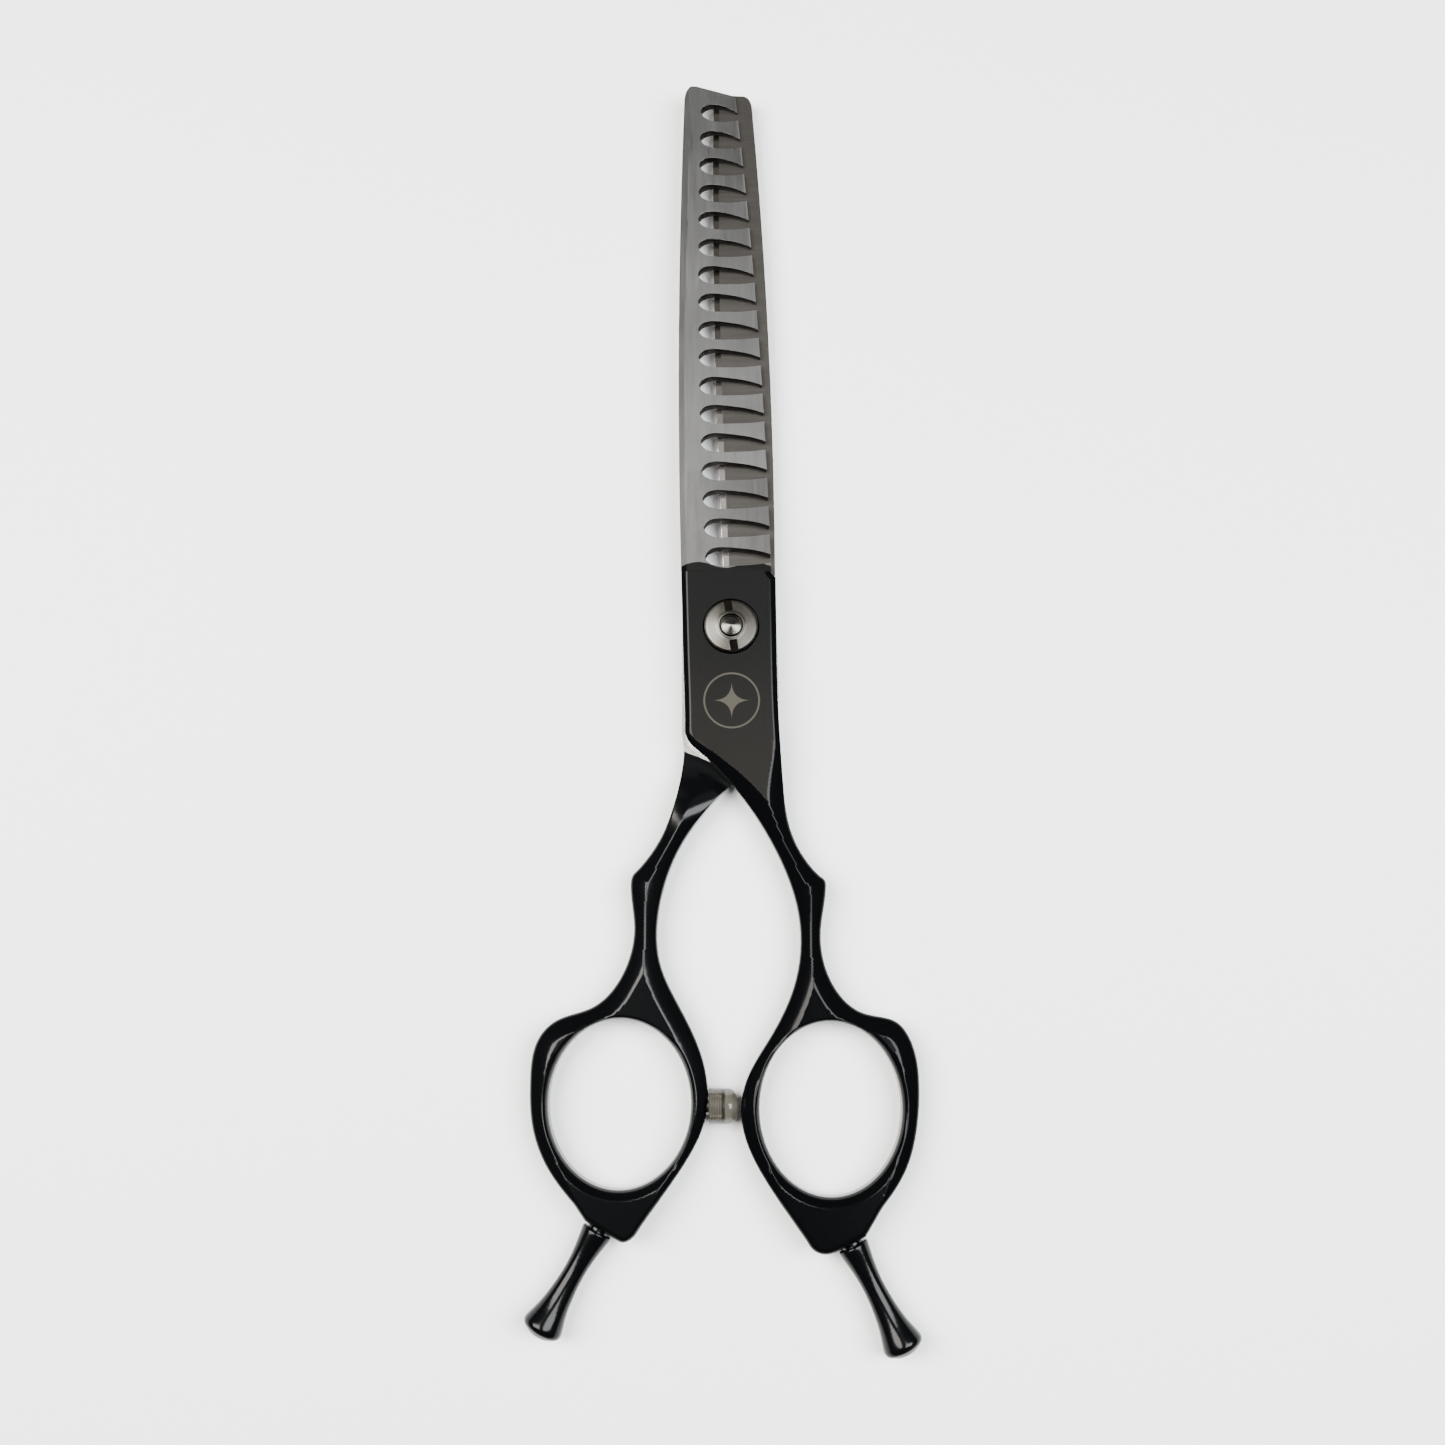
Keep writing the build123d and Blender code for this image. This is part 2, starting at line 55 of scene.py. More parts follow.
# ---------------------------------------------------------------- shader maths
class Value:
    """A socket of a material's node tree. Arithmetic on it adds maths nodes."""

    def __init__(self, tree, socket=None):
        self.tree = tree
        self.socket = socket

    def node(self, kind, inputs, output=0, **settings):
        """Adds any other node, its sockets fed by name or place; returns one of its outputs."""
        made = self.tree.nodes.new(kind)
        for name, value in settings.items():
            setattr(made, name, value)
        for key, value in inputs.items():
            if isinstance(value, Value):
                self.tree.links.new(value.socket, made.inputs[key])
            else:
                made.inputs[key].default_value = value
        return Value(self.tree, made.outputs[output])

    def maths(self, operation, *terms):
        return self.node("ShaderNodeMath", dict(enumerate(terms)), operation=operation)

    def __add__(self, other):
        return self.maths("ADD", self, other)

    def __sub__(self, other):
        return self.maths("SUBTRACT", self, other)

    def __rsub__(self, other):
        return self.maths("SUBTRACT", other, self)

    def __mul__(self, other):
        return self.maths("MULTIPLY", self, other)

    def __truediv__(self, other):
        return self.maths("DIVIDE", self, other)

    __radd__ = __add__
    __rmul__ = __mul__

    def size(self):
        return self.maths("ABSOLUTE", self)

    def root(self):
        return self.maths("SQRT", self)

    def step(self, low, high):
        """0 below low, 1 above high, smooth between."""
        return self.node(
            "ShaderNodeMapRange",
            {"Value": self, "From Min": low, "From Max": high},
            interpolation_type="SMOOTHSTEP",
        )

    def mix(self, first, second):
        """Colours first to second as this goes from 0 to 1."""
        inputs = {"Factor": self, 6: first, 7: second}
        return self.node("ShaderNodeMix", inputs, output=2, data_type="RGBA")

    def lerp(self, first, second):
        """Numbers first to second as this goes from 0 to 1."""
        return self * (second - first) + first


def larger(first, second):
    return first.maths("MAXIMUM", first, second)


def grey(brightness, warmth):
    """A colour near grey; warmth lifts red and lowers blue."""
    return (brightness * (1 + warmth), brightness, brightness * (1 - warmth), 1)


# the shader's sockets that hold one value all over a surface
SOCKETS = {
    "metallic": "Metallic",
    "ior": "IOR",
    "transmission_weight": "Transmission Weight",
    "specular": "Specular IOR Level",
}


class Surface:
    """A material under way: its place in millimetres, and its one Principled shader."""

    def __init__(self, name, **constants):
        self.material = bpy.data.materials.new(name)
        self.material.use_nodes = True
        self.tree = self.material.node_tree
        self.shader = self.tree.nodes["Principled BSDF"]
        for key, value in constants.items():
            self.shader.inputs[SOCKETS[key]].default_value = value
        start = Value(self.tree).node("ShaderNodeTexCoord", {}, output="Object")
        self.place = start.node("ShaderNodeVectorMath", {0: start, "Scale": 1 / MM}, operation="SCALE")
        split = self.place.node("ShaderNodeSeparateXYZ", {0: self.place}).socket.node
        self.x, self.y, self.z = (Value(self.tree, socket) for socket in split.outputs)

    def feed(self, name, value):
        """Links a value to one of the shader's sockets."""
        self.tree.links.new(value.socket, self.shader.inputs[name])

    def noise(self, scale, detail=2.0, stretch=(1, 1, 1)):
        """Noise from about -1 to 1, with `scale` lumps to a millimetre along each axis."""
        stretched = self.place.node(
            "ShaderNodeVectorMath", {0: self.place, 1: stretch}, operation="MULTIPLY"
        )
        cloud = self.place.node(
            "ShaderNodeTexNoise", {"Vector": stretched, "Scale": scale, "Detail": detail}
        )
        return cloud * 2 - 1

    def bump(self, height, depth):
        """Bump from a height of about -1 to 1, `depth` millimetres deep."""
        inputs = {"Height": height * (depth * MM), "Distance": 1.0, "Strength": 1.0}
        self.feed("Normal", height.node("ShaderNodeBump", inputs))

    def attribute(self, name):
        """A number that the mesh holds at each point or face."""
        return self.place.node("ShaderNodeAttribute", {}, output=2, attribute_name=name)

    def radius(self, centre):
        """Distance from an upright axis through centre."""
        across = self.x - centre[0]
        along = self.y - centre[1]
        return (across * across + along * along).root()


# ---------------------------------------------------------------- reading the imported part
def level(node, top):
    """A CAD node's highest level, or its lowest."""
    low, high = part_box(node)
    return (high if top else low)[2] / MM


def middle(node, axis):
    """Middle of a CAD node's box along one axis."""
    return sum(corner[axis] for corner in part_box(node)) / 2 / MM


back_under = level("cutting_blade", False)
ride_level = level("cutting_blade", True)
front_under = level("toothed_blade", False)
front_top = level("front_handle", True)
ring_under = level("front_handle", False)
split_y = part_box("toothed_blade")[0][1] / MM      # where blades and handles are parted


def cad_mesh(node):
    """A CAD node's vertices in millimetres, and its triangles."""
    mesh = frame["nodes"][node].data
    places = np.empty(len(mesh.vertices) * 3)
    mesh.vertices.foreach_get("co", places)
    mesh.calc_loop_triangles()
    triangles = np.empty(len(mesh.loop_triangles) * 3, dtype=np.int32)
    mesh.loop_triangles.foreach_get("vertices", triangles)
    return places.reshape(-1, 3) / MM, triangles.reshape(-1, 3)


def section(node, height):
    """Closed loops where a level plane cuts a CAD node, as arrays of (x, y)."""
    return slices(*cad_mesh(node), height)


def slices(places, triangles, height):
    """Closed loops where the plane at one value of the third coordinate cuts the triangles."""
    follow = {}
    for corners in np.round(places, 4)[triangles]:
        ends = []
        for one, two in ((0, 1), (1, 2), (2, 0)):
            a, b = corners[one], corners[two]
            if (a[2] > height) != (b[2] > height):
                low, high = (a, b) if a[2] < b[2] else (b, a)
                share = (height - low[2]) / (high[2] - low[2])
                ends.append(tuple(np.round(low + share * (high - low), 4)[:2]))
        if len(ends) == 2 and ends[0] != ends[1]:
            follow.setdefault(ends[0], []).append(ends[1])
            follow.setdefault(ends[1], []).append(ends[0])
    loops = []
    while follow:
        start = min(follow)
        loop, last, here = [start], None, start
        while True:
            ways = [p for p in follow[here] if p != last and p not in loop[1:]]
            if not ways or (ways[0] == start and len(loop) > 2):
                break
            last, here = here, ways[0]
            if here == start:
                break
            loop.append(here)
        for point in loop:
            follow.pop(point, None)
        if len(loop) > 3:
            loops.append(np.array(loop))
    return loops


def signed_area(loop):
    """Area inside a closed loop, positive where it runs anticlockwise."""
    nxt = np.roll(loop, -1, axis=0)
    return 0.5 * np.sum(loop[:, 0] * nxt[:, 1] - nxt[:, 0] * loop[:, 1])


CORNER = 24.0               # degrees of turn past which a loop's point is a corner


def resampled(loop, spacing):
    """The loop as a smooth curve through its points, evenly spaced, its corners kept."""
    if signed_area(loop) < 0:
        loop = loop[::-1]
    before = loop - np.roll(loop, 1, axis=0)
    after = np.roll(loop, -1, axis=0) - loop
    turn = np.degrees(np.arctan2(
        before[:, 0] * after[:, 1] - before[:, 1] * after[:, 0], (before * after).sum(axis=1)
    ))
    corners = np.abs(turn) > CORNER
    if corners.any():
        first = int(np.argmax(corners))
        loop, corners = np.roll(loop, -first, axis=0), np.roll(corners, -first)
    closed = np.vstack([loop, loop[:1]])
    sharp = np.append(corners, corners[0])
    chords = np.linalg.norm(np.diff(closed, axis=0), axis=1)
    slopes = np.diff(closed, axis=0) / chords[:, None]
    count = len(chords)
    leave, arrive = np.empty((count, 2)), np.empty((count, 2))
    for i in range(count):
        prev, nxt = slopes[i - 1], slopes[(i + 1) % count]
        prev_chord, next_chord = chords[i - 1], chords[(i + 1) % count]
        leave[i] = slopes[i] if sharp[i] else (
            (prev * chords[i] + slopes[i] * prev_chord) / (prev_chord + chords[i])
        )
        arrive[i] = slopes[i] if sharp[i + 1] else (
            (slopes[i] * next_chord + nxt * chords[i]) / (next_chord + chords[i])
        )
    points = []
    for i in range(count):
        steps = max(1, round(chords[i] / spacing))
        for t in np.arange(steps) / steps:
            points.append(
                (2 * t**3 - 3 * t**2 + 1) * closed[i] + (t**3 - 2 * t**2 + t) * chords[i] * leave[i]
                + (3 * t**2 - 2 * t**3) * closed[i + 1] + (t**3 - t**2) * chords[i] * arrive[i]
            )
    return np.array(points)


TOUCHING = 0.002


def nearest(points, loops, skip_above=None):
    """Distance from each point to the loops, and the unit direction in which it grows inwards.

    Sides of the loops that lie above skip_above are left out.
    """
    starts = np.vstack(loops)
    ends = np.vstack([np.roll(loop, -1, axis=0) for loop in loops])
    if skip_above is not None:
        kept = ~((starts[:, 1] > skip_above) & (ends[:, 1] > skip_above))
        starts, ends = starts[kept], ends[kept]
    runs = ends - starts
    lengths = (runs * runs).sum(axis=1)
    tree = KDTree(len(starts))
    for i, (x, y) in enumerate(starts + runs / 2):
        tree.insert((x, y, 0), i)
    tree.balance()
    near = np.array([[hit[1] for hit in tree.find_n((x, y, 0), 4)] for x, y in points])
    away = points[:, None, :] - starts[near]
    share = np.clip((away * runs[near]).sum(axis=2) / lengths[near], 0, 1)
    gap = away - share[..., None] * runs[near]
    square = (gap * gap).sum(axis=2)
    rows = np.arange(len(points))
    best = square.argmin(axis=1)
    distance = np.sqrt(square[rows, best])
    towards = gap[rows, best] / np.maximum(distance, 1e-9)[:, None]
    run = runs[near[rows, best]]
    inward = np.stack([-run[:, 1], run[:, 0]], axis=1) / np.linalg.norm(run, axis=1)[:, None]
    touching = distance < TOUCHING
    towards[touching] = inward[touching]
    return distance, towards


BATCH = 400                 # points that are tested together


def inside(points, loops):
    """Whether each point is inside an odd number of the loops."""
    starts = np.vstack(loops)
    ends = np.vstack([np.roll(loop, -1, axis=0) for loop in loops])
    odd = np.zeros(len(points), dtype=bool)
    order = np.argsort(points[:, 1])
    for low in range(0, len(points), BATCH):
        rows = order[low:low + BATCH]
        x, y = points[rows].T
        spans = (np.minimum(starts[:, 1], ends[:, 1]) <= y[-1]) & (
            np.maximum(starts[:, 1], ends[:, 1]) >= y[0]
        )
        a, b = starts[spans], ends[spans]
        crosses = (a[None, :, 1] > y[:, None]) != (b[None, :, 1] > y[:, None])
        with np.errstate(divide="ignore", invalid="ignore"):
            meet = a[None, :, 0] + (y[:, None] - a[None, :, 1]) * (
                b[None, :, 0] - a[None, :, 0]
            ) / (b[None, :, 1] - a[None, :, 1])
        odd[rows] = (crosses & (x[:, None] < meet)).sum(axis=1) % 2 == 1
    return odd


# ---------------------------------------------------------------- meshes
def piece(name, mesh, body, material, replaced=()):
    """Puts a finished mesh on its body, in place of the CAD nodes it stands for."""
    obj = bpy.data.objects.new(name, mesh)
    bpy.context.scene.collection.objects.link(obj)
    mesh.materials.clear()
    mesh.materials.append(material)
    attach(obj, body)
    for node in replaced:
        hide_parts(node)


def mesh_from(name, points, faces):
    """A mesh of points in millimetres."""
    mesh = bpy.data.meshes.new(name)
    mesh.from_pydata((np.asarray(points) * MM).tolist(), [], faces)
    mesh.validate()
    mesh.update()
    return mesh


def evaluated(obj):
    """The object's mesh with its modifiers applied; the object itself is removed."""
    depsgraph = bpy.context.evaluated_depsgraph_get()
    depsgraph.update()
    mesh = bpy.data.meshes.new_from_object(obj.evaluated_get(depsgraph))
    bpy.data.objects.remove(obj)
    return mesh


def worked(mesh, *modifiers):
    """The mesh after modifiers, each given as (kind, settings)."""
    obj = bpy.data.objects.new("work", mesh)
    bpy.context.scene.collection.objects.link(obj)
    for kind, settings in modifiers:
        modifier = obj.modifiers.new(kind, kind)
        for key, value in settings.items():
            setattr(modifier, key, value)
    return evaluated(obj)


STEEP = 0.4                 # a face's upward share below this is a wall
NEARLY_LEVEL = 0.96
GROUND_AREA = 0.2 * MM * MM
MERGED = 2e-6               # metres between the corners of neighbouring facets
FACET_TURN = math.radians(0.08)
EDGE_TURN = math.radians(32)
SMOOTH_TURN = math.radians(30)


def eased_copy(node, width=0.05):
    """A copy of a CAD node, its facets merged, its edges lightly rounded and its ground faces flat."""
    mesh = bpy.data.meshes.new(node + "_eased")
    work = bmesh.new()
    work.from_mesh(frame["nodes"][node].data)
    bmesh.ops.remove_doubles(work, verts=work.verts, dist=MERGED)
    bmesh.ops.dissolve_limit(work, angle_limit=FACET_TURN, verts=work.verts, edges=work.edges)
    bmesh.ops.recalc_face_normals(work, faces=work.faces)
    work.to_mesh(mesh)
    work.free()
    bevel = dict(width=width * MM, segments=2, limit_method="ANGLE", angle_limit=EDGE_TURN,
                 harden_normals=False, use_clamp_overlap=True)
    mesh = worked(mesh, ("BEVEL", bevel))
    mesh.shade_smooth()
    mesh.set_sharp_from_angle(angle=SMOOTH_TURN)
    for face in mesh.polygons:
        lying = abs(face.normal.z) > NEARLY_LEVEL
        ground = abs(face.normal.z) > STEEP and face.area > GROUND_AREA
        face.use_smooth = not (lying or ground)
    return mesh


LONGEST_REACH = 0.45        # of a side, that a rounded corner takes


def softened(loop, reach):
    """The closed loop with its sharp corners rounded."""
    points = []
    for before, here, after in zip(np.roll(loop, 1, axis=0), loop, np.roll(loop, -1, axis=0)):
        come, go = here - before, after - here
        cosine = come @ go / (np.linalg.norm(come) * np.linalg.norm(go))
        if math.degrees(math.acos(np.clip(cosine, -1, 1))) < CORNER:
            points.append(here)
            continue
        start = here - come * min(reach / np.linalg.norm(come), LONGEST_REACH)
        end = here + go * min(reach / np.linalg.norm(go), LONGEST_REACH)
        points += [start, start / 4 + here / 2 + end / 4, end]
    return np.array(points)


SLICE_OFF = 0.00035         # the profile is cut just off the axis, between the mesh's corners
BORE_CLEAR = 0.05           # a profile that stays this far from the axis has a bore
ON_AXIS = 0.002


def turned(node, origin, axis, radial, reach=0.05, spacing=0.25, sides=96, core=None):
    """A turned CAD node made again, finely: its profile, smoothed and softened, spun on its axis.

    core is a length from the origin and a radius: the profile is held within it there.
    """
    places, triangles = cad_mesh(node)
    origin, axis, radial = (np.array(v, dtype=float) for v in (origin, axis, radial))
    side = np.cross(axis, radial)
    local = places - origin
    turned_places = np.column_stack([local @ radial, local @ axis, local @ side])
    points, faces = [], []
    for loop in slices(turned_places, triangles, SLICE_OFF):
        if loop[:, 0].max() < BORE_CLEAR:
            continue
        loop = softened(resampled(loop, spacing), reach)
        if core is not None:
            shank = loop[:, 1] < core[0]
            loop[shank, 0] = np.minimum(loop[shank, 0], core[1])
        closed = loop[:, 0].min() > BORE_CLEAR
        if not closed:
            positive = loop[:, 0] > ON_AXIS
            first = int(np.argmax(positive & ~np.roll(positive, 1)))
            loop = np.roll(loop, -first, axis=0)
            count = int(np.argmin(np.append(loop[:, 0] > ON_AXIS, False)))
            tail = loop[count % len(loop)]
            ends = [[0.0, loop[-1][1]], [0.0, tail[1]]]
            loop = np.vstack([ends[:1], loop[:count], ends[1:]])
        angles = np.arange(sides) * 2 * math.pi / sides
        around = np.cos(angles)[:, None] * radial + np.sin(angles)[:, None] * side
        rings = []
        for out, along in loop:
            first = len(points)
            ring = origin + axis * along + around * out
            points.extend((ring if out > 0 else ring[:1]).tolist())
            rings.append([first + (i if out > 0 else 0) for i in range(sides)])
        for k in range(len(rings) if closed else len(rings) - 1):
            one, two = rings[k], rings[(k + 1) % len(rings)]
            for i in range(sides):
                j = (i + 1) % sides
                corners = dict.fromkeys((one[i], one[j], two[j], two[i]))
                faces.append(list(corners))
    return outward(mesh_from(node + "_turned", points, faces))


def outward(mesh):
    """The mesh with its faces turned outwards, smooth except at sharp edges."""
    work = bmesh.new()
    work.from_mesh(mesh)
    bmesh.ops.recalc_face_normals(work, faces=work.faces)
    work.to_mesh(mesh)
    work.free()
    mesh.shade_smooth()
    mesh.set_sharp_from_angle(angle=SMOOTH_TURN)
    return mesh


def box_bar(centre, size, turn):
    """A closed box, turned about Z."""
    work = bmesh.new()
    place = Matrix.Translation(Vector(centre) * MM) @ Matrix.Rotation(turn, 4, "Z")
    bmesh.ops.create_cube(work, size=MM, matrix=place @ Matrix.Diagonal((*size, 1)))
    mesh = bpy.data.meshes.new("box")
    work.to_mesh(mesh)
    work.free()
    return mesh


HELIX_STEPS = 32            # to a turn
BEAD_SIDES = 8


def thread_tree():
    """A screw thread's ridge: a round bead along a helix that climbs +Z."""
    tree = bpy.data.node_groups.new("screw_thread", "GeometryNodeTree")
    tree.interface.new_socket("Thread", in_out="OUTPUT", socket_type="NodeSocketGeometry")
    for name, kind in (
        ("Turns", "Float"), ("Radius", "Float"), ("Length", "Float"), ("Ridge", "Float"),
        ("Finish", "Material"),
    ):
        tree.interface.new_socket(name, in_out="INPUT", socket_type="NodeSocket" + kind)
    given = tree.nodes.new("NodeGroupInput")

    def add(kind, **links):
        made = tree.nodes.new(kind)
        for socket, source in links.items():
            tree.links.new(source, made.inputs[socket.replace("_", " ")])
        return made

    helix = add(
        "GeometryNodeCurveSpiral", Rotations=given.outputs["Turns"], Height=given.outputs["Length"],
        Start_Radius=given.outputs["Radius"], End_Radius=given.outputs["Radius"],
    )
    helix.inputs["Resolution"].default_value = HELIX_STEPS
    bead = add("GeometryNodeCurvePrimitiveCircle", Radius=given.outputs["Ridge"])
    bead.inputs["Resolution"].default_value = BEAD_SIDES
    ridge = add("GeometryNodeCurveToMesh", Curve=helix.outputs[0], Profile_Curve=bead.outputs[0])
    ridge.inputs["Fill Caps"].default_value = True
    whole = add("GeometryNodeRealizeInstances", Geometry=ridge.outputs[0])
    painted = add(
        "GeometryNodeSetMaterial", Geometry=whole.outputs[0], Material=given.outputs["Finish"]
    )
    result = tree.nodes.new("NodeGroupOutput")
    tree.links.new(painted.outputs[0], result.inputs[0])
    return tree


def grown(tree, name, **inputs):
    """The mesh that a geometry tree makes from its named inputs."""
    obj = bpy.data.objects.new(name, bpy.data.meshes.new(name))
    bpy.context.scene.collection.objects.link(obj)
    modifier = obj.modifiers.new(name, "NODES")
    modifier.node_group = tree
    for socket in tree.interface.items_tree:
        if socket.in_out == "INPUT":
            modifier[socket.identifier] = inputs[socket.name]
    return evaluated(obj)


# ---------------------------------------------------------------- forged handles
def eased_step(value, low, high):
    """0 at low, 1 at high, smooth between; low may be above high."""
    share = np.clip((value - low) / (high - low), 0, 1)
    return share * share * (3 - 2 * share)


# stretches along Y, from where a change starts to where it ends
RAMP = (-23.2, -29.6)           # from the body's thickness to the ring's
BACK_RAMP = (-23.2, -32.0)      # the back half's ride face takes on the bevel
SHANK_BEGINS = (-16.5, -27.0)   # from the body's bevel to the shank's
FOOT_BEGINS = (-76.0, -84.5)    # from the shank's bevel to the foot's
SCOOP_CLIMB = (-19.6, -29.6)    # the back shank climbs from the ride level to the body's top

BODY_BEVEL = (0.95, 0.55)       # width, drop
SHANK_BEVEL = (2.7, 1.65)
FOOT_BEVEL = (0.7, 0.55)
HOLE_BEVEL = (                  # station along Y, width, drop
    (-86, 1.5, 1.5), (-81, 1.4, 1.45), (-74, 1.15, 1.3),
    (-63, 1.0, 1.1), (-58.5, 0.45, 0.5), (-56, 0.35, 0.4),
)
BODY_CROWN = 1.02               # 1 is a flat chamfer, more is hollow towards the flat
SHANK_CROWN = 1.2
BODY_ROUND = 0.1                # radius of the outline's edge
SHANK_ROUND = 0.3               # what the shank adds to it
HOLE_ROUND = 0.45
CREST_BLEND = 0.16

# the scoop in the back shank opens out from the front body's slanting end
SCOOP_WAY = np.array([-0.686, -0.727])
SCOOP_START = SCOOP_WAY @ (0.0, -23.3)
SCOOP_MOUTH = (0.2, 2.6)        # distance past that end over which it opens

RING_OFFSETS = (0.03, 0.1, 0.2, 0.36, 0.62, 0.93, 0.965)   # rows of points inside the outline
OUTLINE_STEP = 0.26
FILL_PITCH = 0.3                # of the points that fill the plan, in rows of triangles
FILL_ROW = 0.866
FILL_CLEAR = 1.12               # between those points and the outline
ROW_KEPT = 0.9                  # a row's points stay this share of its offset from every loop
WALL_BANDS = 6
OUTLINE_TOP = split_y - 0.05    # the outline above this borders the blade and has no bevel


def ring_share(y):
    """0 in the body, 1 in the ring, by thickness."""
    return eased_step(y, *RAMP)


def bevel_at(y):
    """Width and drop of the bevel along the outline."""
    shank = eased_step(y, *SHANK_BEGINS)
    foot = eased_step(y, *FOOT_BEGINS)
    first, second, third = (np.array(b)[:, None] for b in (BODY_BEVEL, SHANK_BEVEL, FOOT_BEVEL))
    return (first * (1 - shank) + second * shank) * (1 - foot) + third * foot


def hole_bevel_at(y):
    """Width and drop of the bevel round a finger hole."""
    stations, widths, drops = zip(*HOLE_BEVEL)
    return np.interp(y, stations, widths), np.interp(y, stations, drops)


def rounding(distance, radius):
    """How far a rounded edge has dropped at a distance inside it."""
    near = np.clip(radius - distance, 0, radius)
    return radius - np.sqrt(np.maximum(radius * radius - near * near, 0))


def relief(outer, hole, y):
    """How far the surface has dropped at a distance from the outline and from the finger hole."""
    width, drop = bevel_at(y)
    soft = BODY_ROUND + SHANK_ROUND * ring_share(y)
    crown = BODY_CROWN + (SHANK_CROWN - BODY_CROWN) * eased_step(y, *SHANK_BEGINS)
    edge = drop * (1 - np.clip(outer / width, 0, 1)) ** crown + rounding(outer, soft)
    hole_width, hole_drop = hole_bevel_at(y)
    bore = hole_drop * (1 - np.clip(hole / hole_width, 0, 1)) ** SHANK_CROWN
    bore += rounding(hole, HOLE_ROUND)
    blend = np.maximum(CREST_BLEND - np.abs(edge - bore), 0) / CREST_BLEND
    return np.maximum(edge, bore) + blend * blend * CREST_BLEND / 4


def front_height(plan, outer, hole, top):
    """The front forging's level at plan points, above or below."""
    y = plan[:, 1]
    share = ring_share(y)
    fall = relief(outer, hole, y)
    if top:
        return front_top - fall
    return front_under + share * (ring_under - front_under) + fall * share


def back_height(plan, outer, hole, top):
    """The back forging's level at plan points, above or below."""
    y = plan[:, 1]
    fall = relief(outer, hole, y)
    if not top:
        return back_under + ring_share(y) * (ring_under - back_under) + fall
    scoop = eased_step(plan @ SCOOP_WAY - SCOOP_START, *SCOOP_MOUTH)
    climb = eased_step(y, *SCOOP_CLIMB) * scoop
    return ride_level + climb * (front_top - ride_level) - fall * eased_step(y, *BACK_RAMP)


def normals(loop):
    """Unit directions to the left of a closed loop's run."""
    run = np.roll(loop, -1, axis=0) - np.roll(loop, 1, axis=0)
    return np.stack([-run[:, 1], run[:, 0]], axis=1) / np.linalg.norm(run, axis=1)[:, None]


def fill_points(outline, hole):
    """Points between the outline and the hole: rows along both, with their offsets, and a lattice."""
    rows = np.vstack([
        loop + side * offset * normals(loop)
        for offset in RING_OFFSETS for loop, side in ((outline, 1), (hole, -1))
    ])
    offsets = np.repeat(RING_OFFSETS, len(outline) + len(hole))
    low, high = outline.min(axis=0), outline.max(axis=0)
    columns = np.arange(low[0], high[0], FILL_PITCH)
    levels = np.arange(low[1], high[1], FILL_PITCH * FILL_ROW)
    lattice = np.array([
        (x + (k % 2) * FILL_PITCH / 2, y) for k, y in enumerate(levels) for x in columns
    ])
    return rows, offsets, lattice[inside(lattice, [outline, hole])]


def filled_plan(outline, hole, pit, rows, offsets, lattice):
    """Points and triangles filling the plan, and which of the points make up each loop."""
    loops = [outline, hole, pit]
    pit_radius = np.linalg.norm(pit[0])
    clear_of_pit = np.linalg.norm(rows, axis=1) > pit_radius
    rows = rows[(nearest(rows, loops)[0] > offsets * ROW_KEPT) & clear_of_pit]
    fill = lattice[np.linalg.norm(lattice, axis=1) > pit_radius]
    fill = fill[nearest(fill, loops)[0] > FILL_CLEAR]
    sizes = np.cumsum([0] + [len(loop) for loop in loops]).tolist()
    edges = [
        (first + i, first + (i + 1) % len(loop))
        for first, loop in zip(sizes, loops) for i in range(len(loop))
    ]
    points = np.vstack([*loops, rows, fill])
    made = delaunay_2d_cdt([Vector(p) for p in points], edges, [], 0, 1e-7)
    kept = np.array([tuple(v) for v in made[0]])
    where = {source: out for out, sources in enumerate(made[3]) for source in sources}
    triangles = np.array(made[2])
    triangles = triangles[inside(kept[triangles].mean(axis=1), loops)]
    a, b, c = kept[triangles[:, 0]], kept[triangles[:, 1]], kept[triangles[:, 2]]
    area = (b - a)[:, 0] * (c - a)[:, 1] - (b - a)[:, 1] * (c - a)[:, 0]
    triangles[area < 0] = triangles[area < 0][:, ::-1]
    marks = [[where[i] for i in range(sizes[k], sizes[k + 1])] for k in range(len(loops))]
    return kept, triangles[np.abs(area) > 1e-9], marks


